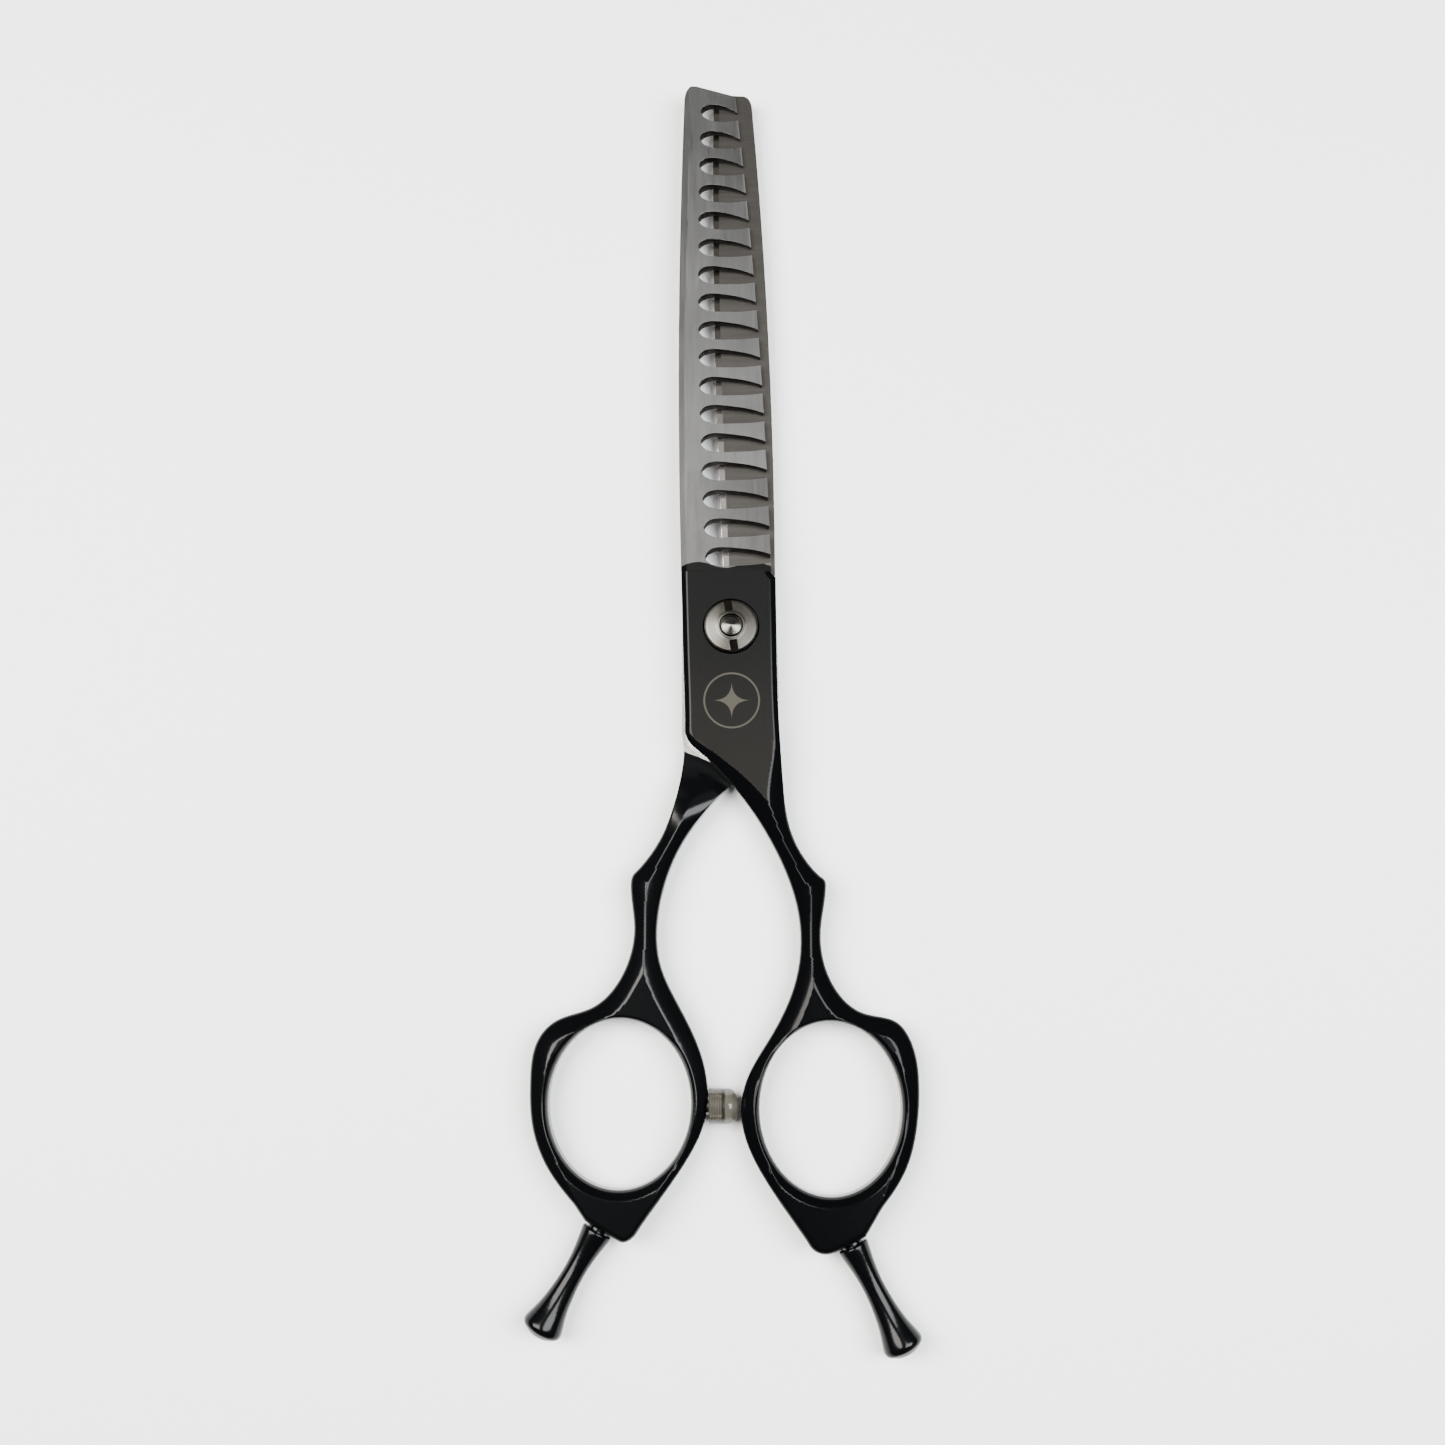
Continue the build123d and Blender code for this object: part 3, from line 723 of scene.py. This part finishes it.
def handle_mesh(name, height_at, outline, hole, top_pit, under_pit, pit_floor, cutters):
    """One forging's coated end: plan outline, hole and pivot bore, with relief above and below."""
    rows, offsets, lattice = fill_points(outline, hole)
    points, faces = [], []

    def add(plan, heights):
        """Adds points over the plan and returns their numbers."""
        first = len(points)
        points.extend(np.column_stack([plan, heights]).tolist())
        return np.arange(first, len(points))

    def strip(upper, lower, flip):
        """Joins two rings of points."""
        for i in range(len(upper)):
            j = (i + 1) % len(upper)
            quad = [int(upper[i]), int(lower[i]), int(lower[j]), int(upper[j])]
            faces.append(quad[::-1] if flip else quad)

    marks = {}
    for top, pit in ((True, top_pit), (False, under_pit)):
        plan, triangles, loops = filled_plan(outline, hole, pit, rows, offsets, lattice)
        outer = nearest(plan, [outline], OUTLINE_TOP)[0]
        holed = nearest(plan, [hole])[0]
        numbers = add(plan, height_at(plan, outer, holed, top))
        faces.extend(numbers[triangles if top else triangles[:, ::-1]].tolist())
        marks[top] = [numbers[loop] for loop in loops]

    for k, loop, flip in ((0, outline, False), (1, hole, True)):
        upper, lower = marks[True][k], marks[False][k]
        above = np.array([points[i][2] for i in upper])
        below = np.array([points[i][2] for i in lower])
        last = upper
        for share in np.linspace(0, 1, WALL_BANDS + 1)[1:-1]:
            ring = add(loop, above + share * (below - above))
            strip(last, ring, flip)
            last = ring
        strip(last, lower, flip)
    floor_out = add(top_pit, np.full(len(top_pit), pit_floor))
    floor_in = add(under_pit, np.full(len(under_pit), pit_floor))
    strip(marks[True][2], floor_out, True)
    strip(floor_out, floor_in, True)
    strip(floor_in, marks[False][2], True)

    mesh = cut(mesh_from(name, points, faces), cutters)
    return relief_shaded(mesh, height_at, outline, hole)


NUDGE = 0.02                # step for the relief's slope
FACING = 0.3                # a face of the relief looks up or down by more than this
ON_RELIEF = 0.01            # and its corners lie this near the relief's level
CREASE = math.radians(35)


def relief_shaded(mesh, height_at, outline, hole):
    """The mesh with its normals straight from the relief, and each point's place in the bevel."""
    count = len(mesh.vertices)
    places = np.empty(count * 3)
    mesh.vertices.foreach_get("co", places)
    places = places.reshape(-1, 3) / MM
    plan = places[:, :2]
    outer, outer_way = nearest(plan, [outline], OUTLINE_TOP)
    holed, hole_way = nearest(plan, [hole])

    mesh.shade_smooth()
    mesh.set_sharp_from_angle(angle=CREASE)
    corners = np.array([n.vector[:] for n in mesh.corner_normals])
    owner = np.empty(len(mesh.loops), dtype=np.int32)
    mesh.loops.foreach_get("vertex_index", owner)
    facing = np.empty(len(mesh.polygons) * 3)
    mesh.polygons.foreach_get("normal", facing)
    sizes = np.array([p.loop_total for p in mesh.polygons])
    upward = np.repeat(facing.reshape(-1, 3)[:, 2], sizes)
    for top, sign in ((True, 1), (False, -1)):
        here = height_at(plan, outer, holed, top)
        by_outer = (height_at(plan, outer + NUDGE, holed, top) - here) / NUDGE
        by_hole = (height_at(plan, outer, holed + NUDGE, top) - here) / NUDGE
        by_y = (height_at(plan + (0, NUDGE), outer, holed, top) - here) / NUDGE
        slope = by_outer[:, None] * outer_way + by_hole[:, None] * hole_way
        slope[:, 1] += by_y
        normal = sign * np.column_stack([-slope, np.ones(count)])
        normal /= np.linalg.norm(normal, axis=1)[:, None]
        fits = (upward * sign > FACING) & (np.abs(places[owner, 2] - here[owner]) < ON_RELIEF)
        corners[fits] = normal[owner[fits]]
    mesh.normals_split_custom_set(corners.tolist())
    width, _ = bevel_at(plan[:, 1])
    mark = mesh.attributes.new("inside_bevel", "FLOAT", "POINT")
    mark.data.foreach_set("value", (outer - width).astype(np.float32))
    return mesh


def round_bar(start, end, radius, sides=48):
    """A closed cylinder between two places."""
    start, end = Vector(start), Vector(end)
    work = bmesh.new()
    turn = (end - start).to_track_quat("Z", "Y").to_matrix().to_4x4()
    turn.translation = (start + end) / 2 * MM
    bmesh.ops.create_cone(
        work, cap_ends=True, segments=sides, radius1=radius * MM, radius2=radius * MM,
        depth=(end - start).length * MM, matrix=turn,
    )
    mesh = bpy.data.meshes.new("bar")
    work.to_mesh(mesh)
    work.free()
    return mesh


def cut(mesh, cutters):
    """The mesh with each closed cutter taken away."""
    for tool in cutters:
        holder = bpy.data.objects.new("cutter", tool)
        bpy.context.scene.collection.objects.link(holder)
        mesh = worked(mesh, ("BOOLEAN", dict(object=holder, operation="DIFFERENCE", solver="MANIFOLD")))
        bpy.data.objects.remove(holder)
    return mesh


OFF_PIVOT = 0.3             # a loop round the pivot has its middle this near the axis
LARGEST_PIT = 7.0


def loop_radius(loops):
    """Radius of the loop that rings the pivot."""
    for loop in loops:
        radius = np.linalg.norm(loop, axis=1).max()
        if np.linalg.norm(loop.mean(axis=0)) < OFF_PIVOT and radius < LARGEST_PIT:
            return radius
    raise ValueError("no loop round the pivot")


def circle(radius, count=96):
    """Points on a circle round the pivot."""
    turn = np.arange(count) * 2 * math.pi / count
    return radius * np.column_stack([np.cos(turn), np.sin(turn)])


def outline_and_hole(node, height):
    """A handle's outline and its finger hole: the two largest loops of its section."""
    loops = sorted(section(node, height), key=lambda loop: -abs(signed_area(loop)))
    return resampled(loops[0], OUTLINE_STEP), resampled(loops[1], OUTLINE_STEP)


def rest_axis(node):
    """Where a finger rest's thread ends inside the ring, and the direction out along the rest."""
    places = np.array([v.co[:] for v in frame["nodes"][node].data.vertices]) / MM
    spread = places - places.mean(axis=0)
    along = np.linalg.svd(spread, full_matrices=False)[2][0]
    along *= -np.sign(along[1])
    along[2] = 0
    along /= np.linalg.norm(along)
    reach = places @ along
    centre = (places.max(axis=0) + places.min(axis=0)) / 2
    thread = places[reach < reach.min() + 0.01]
    foot = thread.mean(axis=0)
    foot[2] = centre[2]
    return foot, along


front_middle = front_top - 1.4      # levels of the sections through each forging
front_pit = front_top - 0.5
back_middle = back_under + 1.4
back_pit = ride_level - 0.1
front_outline, right_hole = outline_and_hole("front_handle", front_middle)
back_outline, left_hole = outline_and_hole("back_handle", back_middle)
# the back half's bare side shows as a thin line beyond the front half's left edge
SIDE_SHOWS = 0.42
SIDE_FROM, SIDE_TO = (-19.5, -15.0), (3.6, 1.6)
left_side = back_outline[:, 0] < -6
body_part = eased_step(back_outline[:, 1], *SIDE_TO) * eased_step(back_outline[:, 1], *SIDE_FROM)
back_outline[:, 0] -= SIDE_SHOWS * body_part * left_side

front_bore = loop_radius(section("front_handle", front_middle))
front_recess = loop_radius(section("front_handle", front_pit))
back_bore = loop_radius(section("back_handle", back_middle))
back_recess = loop_radius(section("back_handle", back_pit))
recess_floor = level("pivot_bush", True)
washer_seat = level("ride_washer", False) - 0.01

left_foot, left_way = rest_axis("left_finger_rest")
right_foot, right_way = rest_axis("right_finger_rest")
THREAD_HOLE = 1.22          # radii: the hole, the thread's core, and the bead of its ridge
THREAD_CORE = 1.02
THREAD_RIDGE = 0.11
THREAD_CLEARANCE = 0.02
THREAD_PITCH = 0.5
THREAD_END = 0.3            # plain ends of the thread
HOLE_REACH = 9.0            # the cutters run past the rings' outsides
thread_radius = THREAD_HOLE - THREAD_CLEARANCE
joints = {joint["name"]: joint for joint in frame["record"]["behaviour"]["joints"]}
thread_length = joints["left_rest_unscrew"]["range_m"][1] / MM - 0.1
thread_run = thread_length - 2 * THREAD_END

SLOT_ANGLE = math.radians(98)
SLOT_MIDDLE = 3.2           # the slots' boxes, from the pivot to each one's middle
SLOT_SIZE = (2.0, 1.2, 1.2)
slot_start = SLOT_MIDDLE - SLOT_SIZE[0] / 2
slot_half = SLOT_SIZE[1] / 2
PAINTED_HIGHLIGHT_ANGLE = math.radians(225)
nut_top = level("tension_nut", True)
bumper_y, bumper_level = middle("bumper_cap", 1), middle("bumper_cap", 2)
cap_root, cap_tip = (corner[0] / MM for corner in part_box("bumper_cap"))
BUMPER_HOLE = (-8.5, 0.0)   # its cutter, along X
RIB_PITCH = 0.36            # of the cap's sleeve


# ---------------------------------------------------------------- materials
GLOSS_BLACK = (0.0012, 0.0014, 0.0016, 1)
# painted sheen: the coat's paler brown towards the shank stands in for reflected light
SATIN_PAINTED_SHEEN = (0.0046, 0.0038, 0.0026, 1)
SATIN_TOP = (0.0006, 0.0006, 0.0005, 1)
ETCHED = (0.05, 0.046, 0.036, 1)
HONED_HEEL = (0.6, 0.57, 0.54, 1)
HONE_PAINTED_SHADE = (0.1, 0.095, 0.08, 1)
NOTCH_SHADE = (0.011, 0.009, 0.006, 1)
EMBLEM = (0.08, -11.2)
EMBLEM_RADIUS = 4.07


def shade(colour, factor):
    """A colour made paler or deeper, held within white."""
    return tuple(min(part * factor, 1) for part in colour[:3]) + (1,)


def satin_with_painted_sheen(surface):
    """Colour of the ground, coated flat: near black at the top, paler and browner towards the shank,
    where a painted sheen stands in for reflected light.
    """
    return surface.y.step(-22.0, 2.0).mix(SATIN_PAINTED_SHEEN, SATIN_TOP)


def black_coat(name, roughness, emblem=False):
    """Black coating: satin black with a painted brown sheen on the ground flat, deep gloss on bevels
    and shanks.

    emblem adds a four-pointed star in a ring, etched in the flat.
    """
    surface = Surface(name, specular=0.09)
    fine = surface.noise(2.6, 3)
    broad = surface.noise(0.09, 2)
    flat = surface.attribute("inside_bevel").step(-0.16, -0.09) * surface.y.step(-27.6, -25.8)
    flat = flat * surface.z.step(front_top - 0.08, front_top - 0.02)
    base = flat.mix(GLOSS_BLACK, satin_with_painted_sheen(surface))
    rough = flat.lerp(roughness, 0.42) + fine * 0.015 + broad * 0.02
    if emblem:
        ring = (surface.radius(EMBLEM) - EMBLEM_RADIUS).size()
        across = (surface.x - EMBLEM[0]).size()
        along = (surface.y - EMBLEM[1]).size()
        star = across.root() + along.root()
        ragged = surface.noise(3.5, 2) * 0.03
        etched = larger(
            1 - (ring + ragged).step(0.09, 0.17), 1 - (star + ragged).step(1.66, 1.73)
        ) * flat
        base = etched.mix(base, ETCHED)
        rough = rough + etched * 0.12
    surface.feed("Base Color", base)
    surface.feed("Roughness", rough)
    surface.bump(fine + broad, 0.0012)
    return surface.material


def brushed_steel(name, brightness, warmth, grain, roughness, coated=False, walls=False, hone=None):
    """Ground blade steel with a fine grain, with painted shade that darkens it towards the heel, so it
    is paler towards the tip.

    coated adds the body's black below a wavy line, walls paints shade on the notches' steep walls, and
    hone gives the curve of the cutting edge, x by y, along which a bright strip is honed, fading into
    painted shade towards the tip.
    """
    surface = Surface(name, metallic=1.0, specular=0.09)
    streak = surface.noise(1.0, 3, grain)
    cloud = surface.noise(0.12, 2)
    # painted shade: the steel is darker towards the heel and paler towards the tip
    along = surface.y.step(5.0, 84.0)
    pale = along.mix(grey(brightness * 0.56, warmth), grey(brightness * 0.96, warmth))
    deep = along.mix(grey(brightness * 0.48, warmth), grey(brightness * 0.82, warmth))
    base = (streak * 0.5 + 0.5).mix(deep, pale)
    rough = roughness + streak * 0.05 + cloud * 0.03
    if hone is not None:
        edge = surface.x - (surface.y * surface.y * hone[0] + surface.y * hone[1] + hone[2])
        strip = (1 - edge.step(0.82, 0.95)) * surface.z.step(ride_level - 0.1, ride_level - 0.05)
        # the honed strip is bright polished steel at the heel; towards the tip it fades into painted
        # shade, the teeth's shadow painted on it
        hone_into_painted_shade = surface.y.step(14.0, 50.0).mix(HONED_HEEL, HONE_PAINTED_SHADE)
        base = strip.mix(base, hone_into_painted_shade)
        rough = rough + strip * -0.18
    if walls:
        # painted shade: the notches' steep walls are painted near black
        wall = surface.attribute("painted_notch_shade")
        base = wall.mix(base, NOTCH_SHADE)
        rough = rough + wall * 0.2
    if coated:
        turn = surface.x * 0.75 + 0.6
        line = surface.y + turn.maths("COSINE", turn) * 0.45 + surface.noise(0.8, 2) * 0.12
        coat = 1 - line.step(split_y + 0.95, split_y + 1.05)
        bevel = 1 - surface.x.step(-6.72, -6.62)
        base = coat.mix(base, bevel.mix(satin_with_painted_sheen(surface), GLOSS_BLACK))
        rough = rough + coat * (bevel * -0.24 + 0.12)
        surface.feed("Metallic", 1 - coat)
    surface.feed("Base Color", base)
    surface.feed("Roughness", rough)
    surface.bump(streak, 0.0008)
    return surface.material


def turned_metal(name, colour, roughness, pitch=0.16, slots=False):
    """Lathe-turned metal: fine rings round the pivot; slots adds the nut's painted highlight fan and
    painted shade in its recesses.
    """
    surface = Surface(name, metallic=1.0)
    radius = surface.radius((0.0, 0.0))
    wave = radius * (2 * math.pi / pitch)
    ring = wave.maths("SINE", wave)
    cloud = surface.noise(1.0, 2)
    base = (cloud * 0.5 + 0.5).mix(shade(colour, 0.9), shade(colour, 1.06))
    if slots:
        # painted highlight: a fan, bright towards the lower left and dark across it, stands in for the
        # turned face's reflection
        painted_fan = (surface.x * math.cos(PAINTED_HIGHLIGHT_ANGLE) + surface.y * math.sin(PAINTED_HIGHLIGHT_ANGLE)) / (radius + 0.01)
        base = (painted_fan * 0.5 + 0.5 + cloud * 0.08).step(0.15, 1.0).mix(
            shade(colour, 0.55), shade(colour, 1.5)
        )
        # painted shade: the gap inside the nut's lip, round the post's button, is painted near black
        groove_shade = (1 - radius.step(1.78, 1.86)) * (1 - surface.z.step(nut_top - 0.16, nut_top - 0.1))
        base = groove_shade.mix(base, (0.012, 0.011, 0.009, 1))
        # painted shade: the slots' floors and lower walls are painted near black
        off_line = (surface.y * math.cos(SLOT_ANGLE) - surface.x * math.sin(SLOT_ANGLE)).size()
        deep = 1 - off_line.step(slot_half - 0.04, slot_half)
        deep = deep * radius.step(slot_start - 0.1, slot_start)
        deep = deep * (1 - surface.z.step(nut_top - 0.34, nut_top - 0.26))
        base = deep.mix(base, (0.006, 0.005, 0.004, 1))
    surface.feed("Base Color", base)
    surface.feed("Roughness", roughness + ring * 0.04 + cloud * 0.03)
    surface.bump(ring + cloud * 0.4, 0.004)
    return surface.material


def plain(name, colour, roughness, metallic=0.0, speckle=0.04, **constants):
    """An even finish with a faint speckle."""
    surface = Surface(name, metallic=metallic, **constants)
    fine = surface.noise(1.6, 3)
    base = (fine * 0.5 + 0.5).mix(shade(colour, 1 - speckle), shade(colour, 1 + speckle))
    surface.feed("Base Color", base)
    surface.feed("Roughness", roughness + fine * 0.03)
    surface.bump(fine, 0.0006)
    return surface.material


def silicone(name):
    """Smoky clear rubber: a ribbed sleeve at the root, a dark band, and a clear dome."""
    surface = Surface(name, transmission_weight=0.62, ior=1.41)
    cloud = surface.noise(0.7, 2)
    base = (cloud * 0.5 + 0.5).mix((0.1, 0.095, 0.075, 1), (0.18, 0.17, 0.14, 1))
    reach = (surface.x - cap_root) / (cap_tip - cap_root)
    wave = surface.x * (2 * math.pi / RIB_PITCH)
    sleeve = 1 - reach.step(0.38, 0.42)
    band = reach.step(0.38, 0.42) * (1 - reach.step(0.5, 0.54))
    rib = wave.maths("SINE", wave)
    base = (sleeve * (rib * 0.3 + 0.4)).mix(base, (0.025, 0.023, 0.017, 1))
    base = (band * 0.85).mix(base, (0.01, 0.01, 0.008, 1))
    surface.feed("Base Color", base)
    surface.feed("Roughness", 0.18 + cloud * 0.05)
    surface.bump(cloud, 0.01)
    return surface.material


def split_back_coat():
    """The back handle: gloss black, its ride face bare and polished above a slanting line."""
    surface = Surface("back_coat", specular=0.14)
    fine = surface.noise(2.6, 3)
    line = surface.y + surface.x * 0.42 + surface.noise(0.6, 2) * 0.15
    bare = line.step(-21.45, -21.3) * surface.z.step(back_under + 0.6, back_under + 0.8)
    surface.feed("Base Color", bare.mix(GLOSS_BLACK, (0.82, 0.81, 0.76, 1)))
    surface.feed("Roughness", bare * 0.04 + 0.17 + fine * 0.015)
    surface.feed("Metallic", bare)
    surface.bump(fine, 0.0008)
    return surface.material


# ---------------------------------------------------------------- the handles
def rest_cutter(foot, way):
    """What clears the threaded hole of a finger rest."""
    return round_bar(foot - 0.05 * way, foot + HOLE_REACH * way, THREAD_HOLE)


front_mesh = handle_mesh(
    "front_handle_forged", front_height, front_outline, right_hole,
    circle(front_recess), circle(front_bore), recess_floor,
    [rest_cutter(right_foot, right_way)],
)
back_mesh = handle_mesh(
    "back_handle_forged", back_height, back_outline, left_hole,
    circle(back_recess), circle(back_bore), washer_seat,
    [
        rest_cutter(left_foot, left_way),
        round_bar(*((x, bumper_y, bumper_level) for x in BUMPER_HOLE), THREAD_HOLE),
    ],
)
piece("front_handle_look", front_mesh, "front_half", black_coat("front_coat", 0.13, True),
      ["front_handle"])
piece("back_handle_look", back_mesh, "back_half", split_back_coat(), ["back_handle"])


# ---------------------------------------------------------------- the blades
WALLS_RIGHT_OF = -6.6       # the spine's own side is left of this
WALLS_BELOW = 85.2          # the tip is above this
HONE_END = 80               # the edge's curve is fitted below the tip's rounding


def marked_walls(mesh):
    """Marks the steep faces of the notches, which the material paints with shade."""
    steep = [
        float(
            abs(face.normal.z) < STEEP
            and face.center.x > WALLS_RIGHT_OF * MM and face.center.y < WALLS_BELOW * MM
        )
        for face in mesh.polygons
    ]
    mesh.attributes.new("painted_notch_shade", "FLOAT", "FACE").data.foreach_set("value", steep)
    return mesh


def hone_curve():
    """The cutting blade's left edge as a curve: x as a quadratic of y."""
    places = np.array([v.co[:] for v in frame["nodes"]["cutting_blade"].data.vertices]) / MM
    on_ride_face = (places[:, 2] > ride_level - 0.01) & (places[:, 0] < 0)
    edge = places[on_ride_face & (places[:, 1] < HONE_END)]
    return [float(v) for v in np.polyfit(edge[:, 1], edge[:, 0], 2)]


piece(
    "toothed_blade_look", marked_walls(eased_copy("toothed_blade")), "front_half",
    brushed_steel("toothed_steel", 0.26, 0.02, (3.0, 0.12, 1.0), 0.3, coated=True, walls=True),
    ["toothed_blade"],
)
piece(
    "cutting_blade_look", eased_copy("cutting_blade", 0.03), "back_half",
    brushed_steel("cutting_steel", 0.082, 0.075, (0.15, 3.0, 1.0), 0.34, hone=hone_curve()),
    ["cutting_blade"],
)


# ---------------------------------------------------------------- pivot, bumper and rests
nut_metal = turned_metal("nut_metal", (0.066, 0.063, 0.055), 0.27, slots=True)
post_metal = turned_metal("post_metal", (0.1, 0.098, 0.086), 0.2, pitch=0.12)
spring_metal = turned_metal("spring_metal", (0.3, 0.3, 0.28), 0.3)
stud_metal = plain("stud_metal", (0.1, 0.098, 0.09), 0.25, 1.0)
bronze_metal = plain("bronze_metal", (0.3, 0.19, 0.09), 0.34, 1.0)
nylon = plain("nylon_white", (0.5, 0.5, 0.48), 0.45, speckle=0.02)
rubber = silicone("clear_rubber")
rest_gloss = plain("rest_gloss", GLOSS_BLACK[:3], 0.17, speckle=0.2, specular=0.14)

UPRIGHT = ((0, 0, 0), (0, 0, 1), (1, 0, 0))
nut_look = turned("tension_nut", *UPRIGHT, reach=0.06)
slot_boxes = [
    box_bar((out * math.cos(SLOT_ANGLE), out * math.sin(SLOT_ANGLE), nut_top), SLOT_SIZE, SLOT_ANGLE)
    for out in (SLOT_MIDDLE, -SLOT_MIDDLE)
]
nut_look = outward(cut(nut_look, slot_boxes))
piece("tension_nut_look", nut_look, "nut", nut_metal, ["tension_nut"])

for node, body, material, slot in (
    ("pivot_post", "back_half", post_metal, "turned_steel"),
    ("spring_washer", "back_half", spring_metal, "turned_steel"),
    ("friction_washer", "front_half", bronze_metal, "bronze"),
    ("pivot_bush", "front_half", bronze_metal, "bronze"),
    ("ride_washer", "back_half", nylon, "white_washer"),
):
    piece(node + "_look", turned(node, *UPRIGHT), body, material, [node])

ALONG_X = ((0, bumper_y, bumper_level), (1, 0, 0), (0, 1, 0))
piece("bumper_stud_look", turned("bumper_stud", *ALONG_X, sides=64), "back_half", stud_metal,
      ["bumper_stud"])
piece("bumper_cap_look", turned("bumper_cap", *ALONG_X, reach=0.12, sides=64), "back_half", rubber,
      ["bumper_cap"])
screw_thread = thread_tree()
for node, foot, way, body in (
    ("left_finger_rest", left_foot, left_way, "left_rest"),
    ("right_finger_rest", right_foot, right_way, "right_rest"),
):
    look = turned(node, foot, way, (0, 0, 1), spacing=0.3, sides=80, core=(thread_length, THREAD_CORE))
    piece(node + "_look", look, body, rest_gloss, [node])
    ridge = grown(
        screw_thread, node + "_thread", Turns=round(thread_run / THREAD_PITCH), Finish=rest_gloss,
        Radius=(thread_radius - THREAD_RIDGE) * MM, Length=thread_run * MM, Ridge=THREAD_RIDGE * MM,
    )
    place = Vector(way).to_track_quat("Z", "Y").to_matrix().to_4x4()
    place.translation = Vector(foot + way * THREAD_END) * MM
    ridge.transform(place)
    piece(node + "_thread", outward(ridge), body, rest_gloss)


# ---------------------------------------------------------------- floor, light and camera
def area_light(name, place, aim, size, power, colour):
    """A soft rectangular light that faces a point."""
    data = bpy.data.lights.new(name, "AREA")
    data.shape = "RECTANGLE"
    data.size, data.size_y = (s * MM for s in size)
    data.energy = power
    data.color = colour
    obj = bpy.data.objects.new(name, data)
    bpy.context.scene.collection.objects.link(obj)
    obj.location = Vector(place) * MM
    obj.rotation_mode = "QUATERNION"
    obj.rotation_quaternion = (Vector(aim) - Vector(place)).to_track_quat("-Z", "Y")


FLOOR_HALF = 3000
floor_mesh = mesh_from(
    "floor", [(x * FLOOR_HALF, y * FLOOR_HALF, 0) for x, y in ((-1, -1), (1, -1), (1, 1), (-1, 1))],
    [[0, 1, 2, 3]],
)
floor = bpy.data.objects.new("floor", floor_mesh)
bpy.context.scene.collection.objects.link(floor)
floor_mesh.materials.append(plain("floor_white", (0.93, 0.93, 0.93), 0.6, speckle=0.004))

area_light("left_soft", (-300, 30, 480), (0, -10, 0), (280, 420), 10.0, (1, 0.98, 0.95))
area_light("right_soft", (290, -20, 500), (0, -10, 0), (280, 420), 9.0, (0.97, 0.99, 1))
area_light("steel_card", (0, 330, 620), (0, 60, 0), (320, 380), 0.26, (1, 0.99, 0.97))

world = bpy.data.worlds.new("studio")
world.use_nodes = True
world.node_tree.nodes["Background"].inputs["Color"].default_value = (0.86, 0.88, 0.9, 1)
world.node_tree.nodes["Background"].inputs["Strength"].default_value = 0.045
bpy.context.scene.world = world

camera_data = bpy.data.cameras.new("camera")
camera_data.lens = 43.3
camera_data.sensor_width = 36
camera_data.clip_start, camera_data.clip_end = 0.01, 20
camera = bpy.data.objects.new("camera", camera_data)
bpy.context.scene.collection.objects.link(camera)
camera_place, camera_aim = Vector((-1.28, -52.54, 260.54)), Vector((-1.28, -14.11, 3.4))
camera.location = camera_place * MM
camera.rotation_mode = "QUATERNION"
camera.rotation_quaternion = (camera_aim - camera_place).to_track_quat("-Z", "Y")
bpy.context.scene.camera = camera
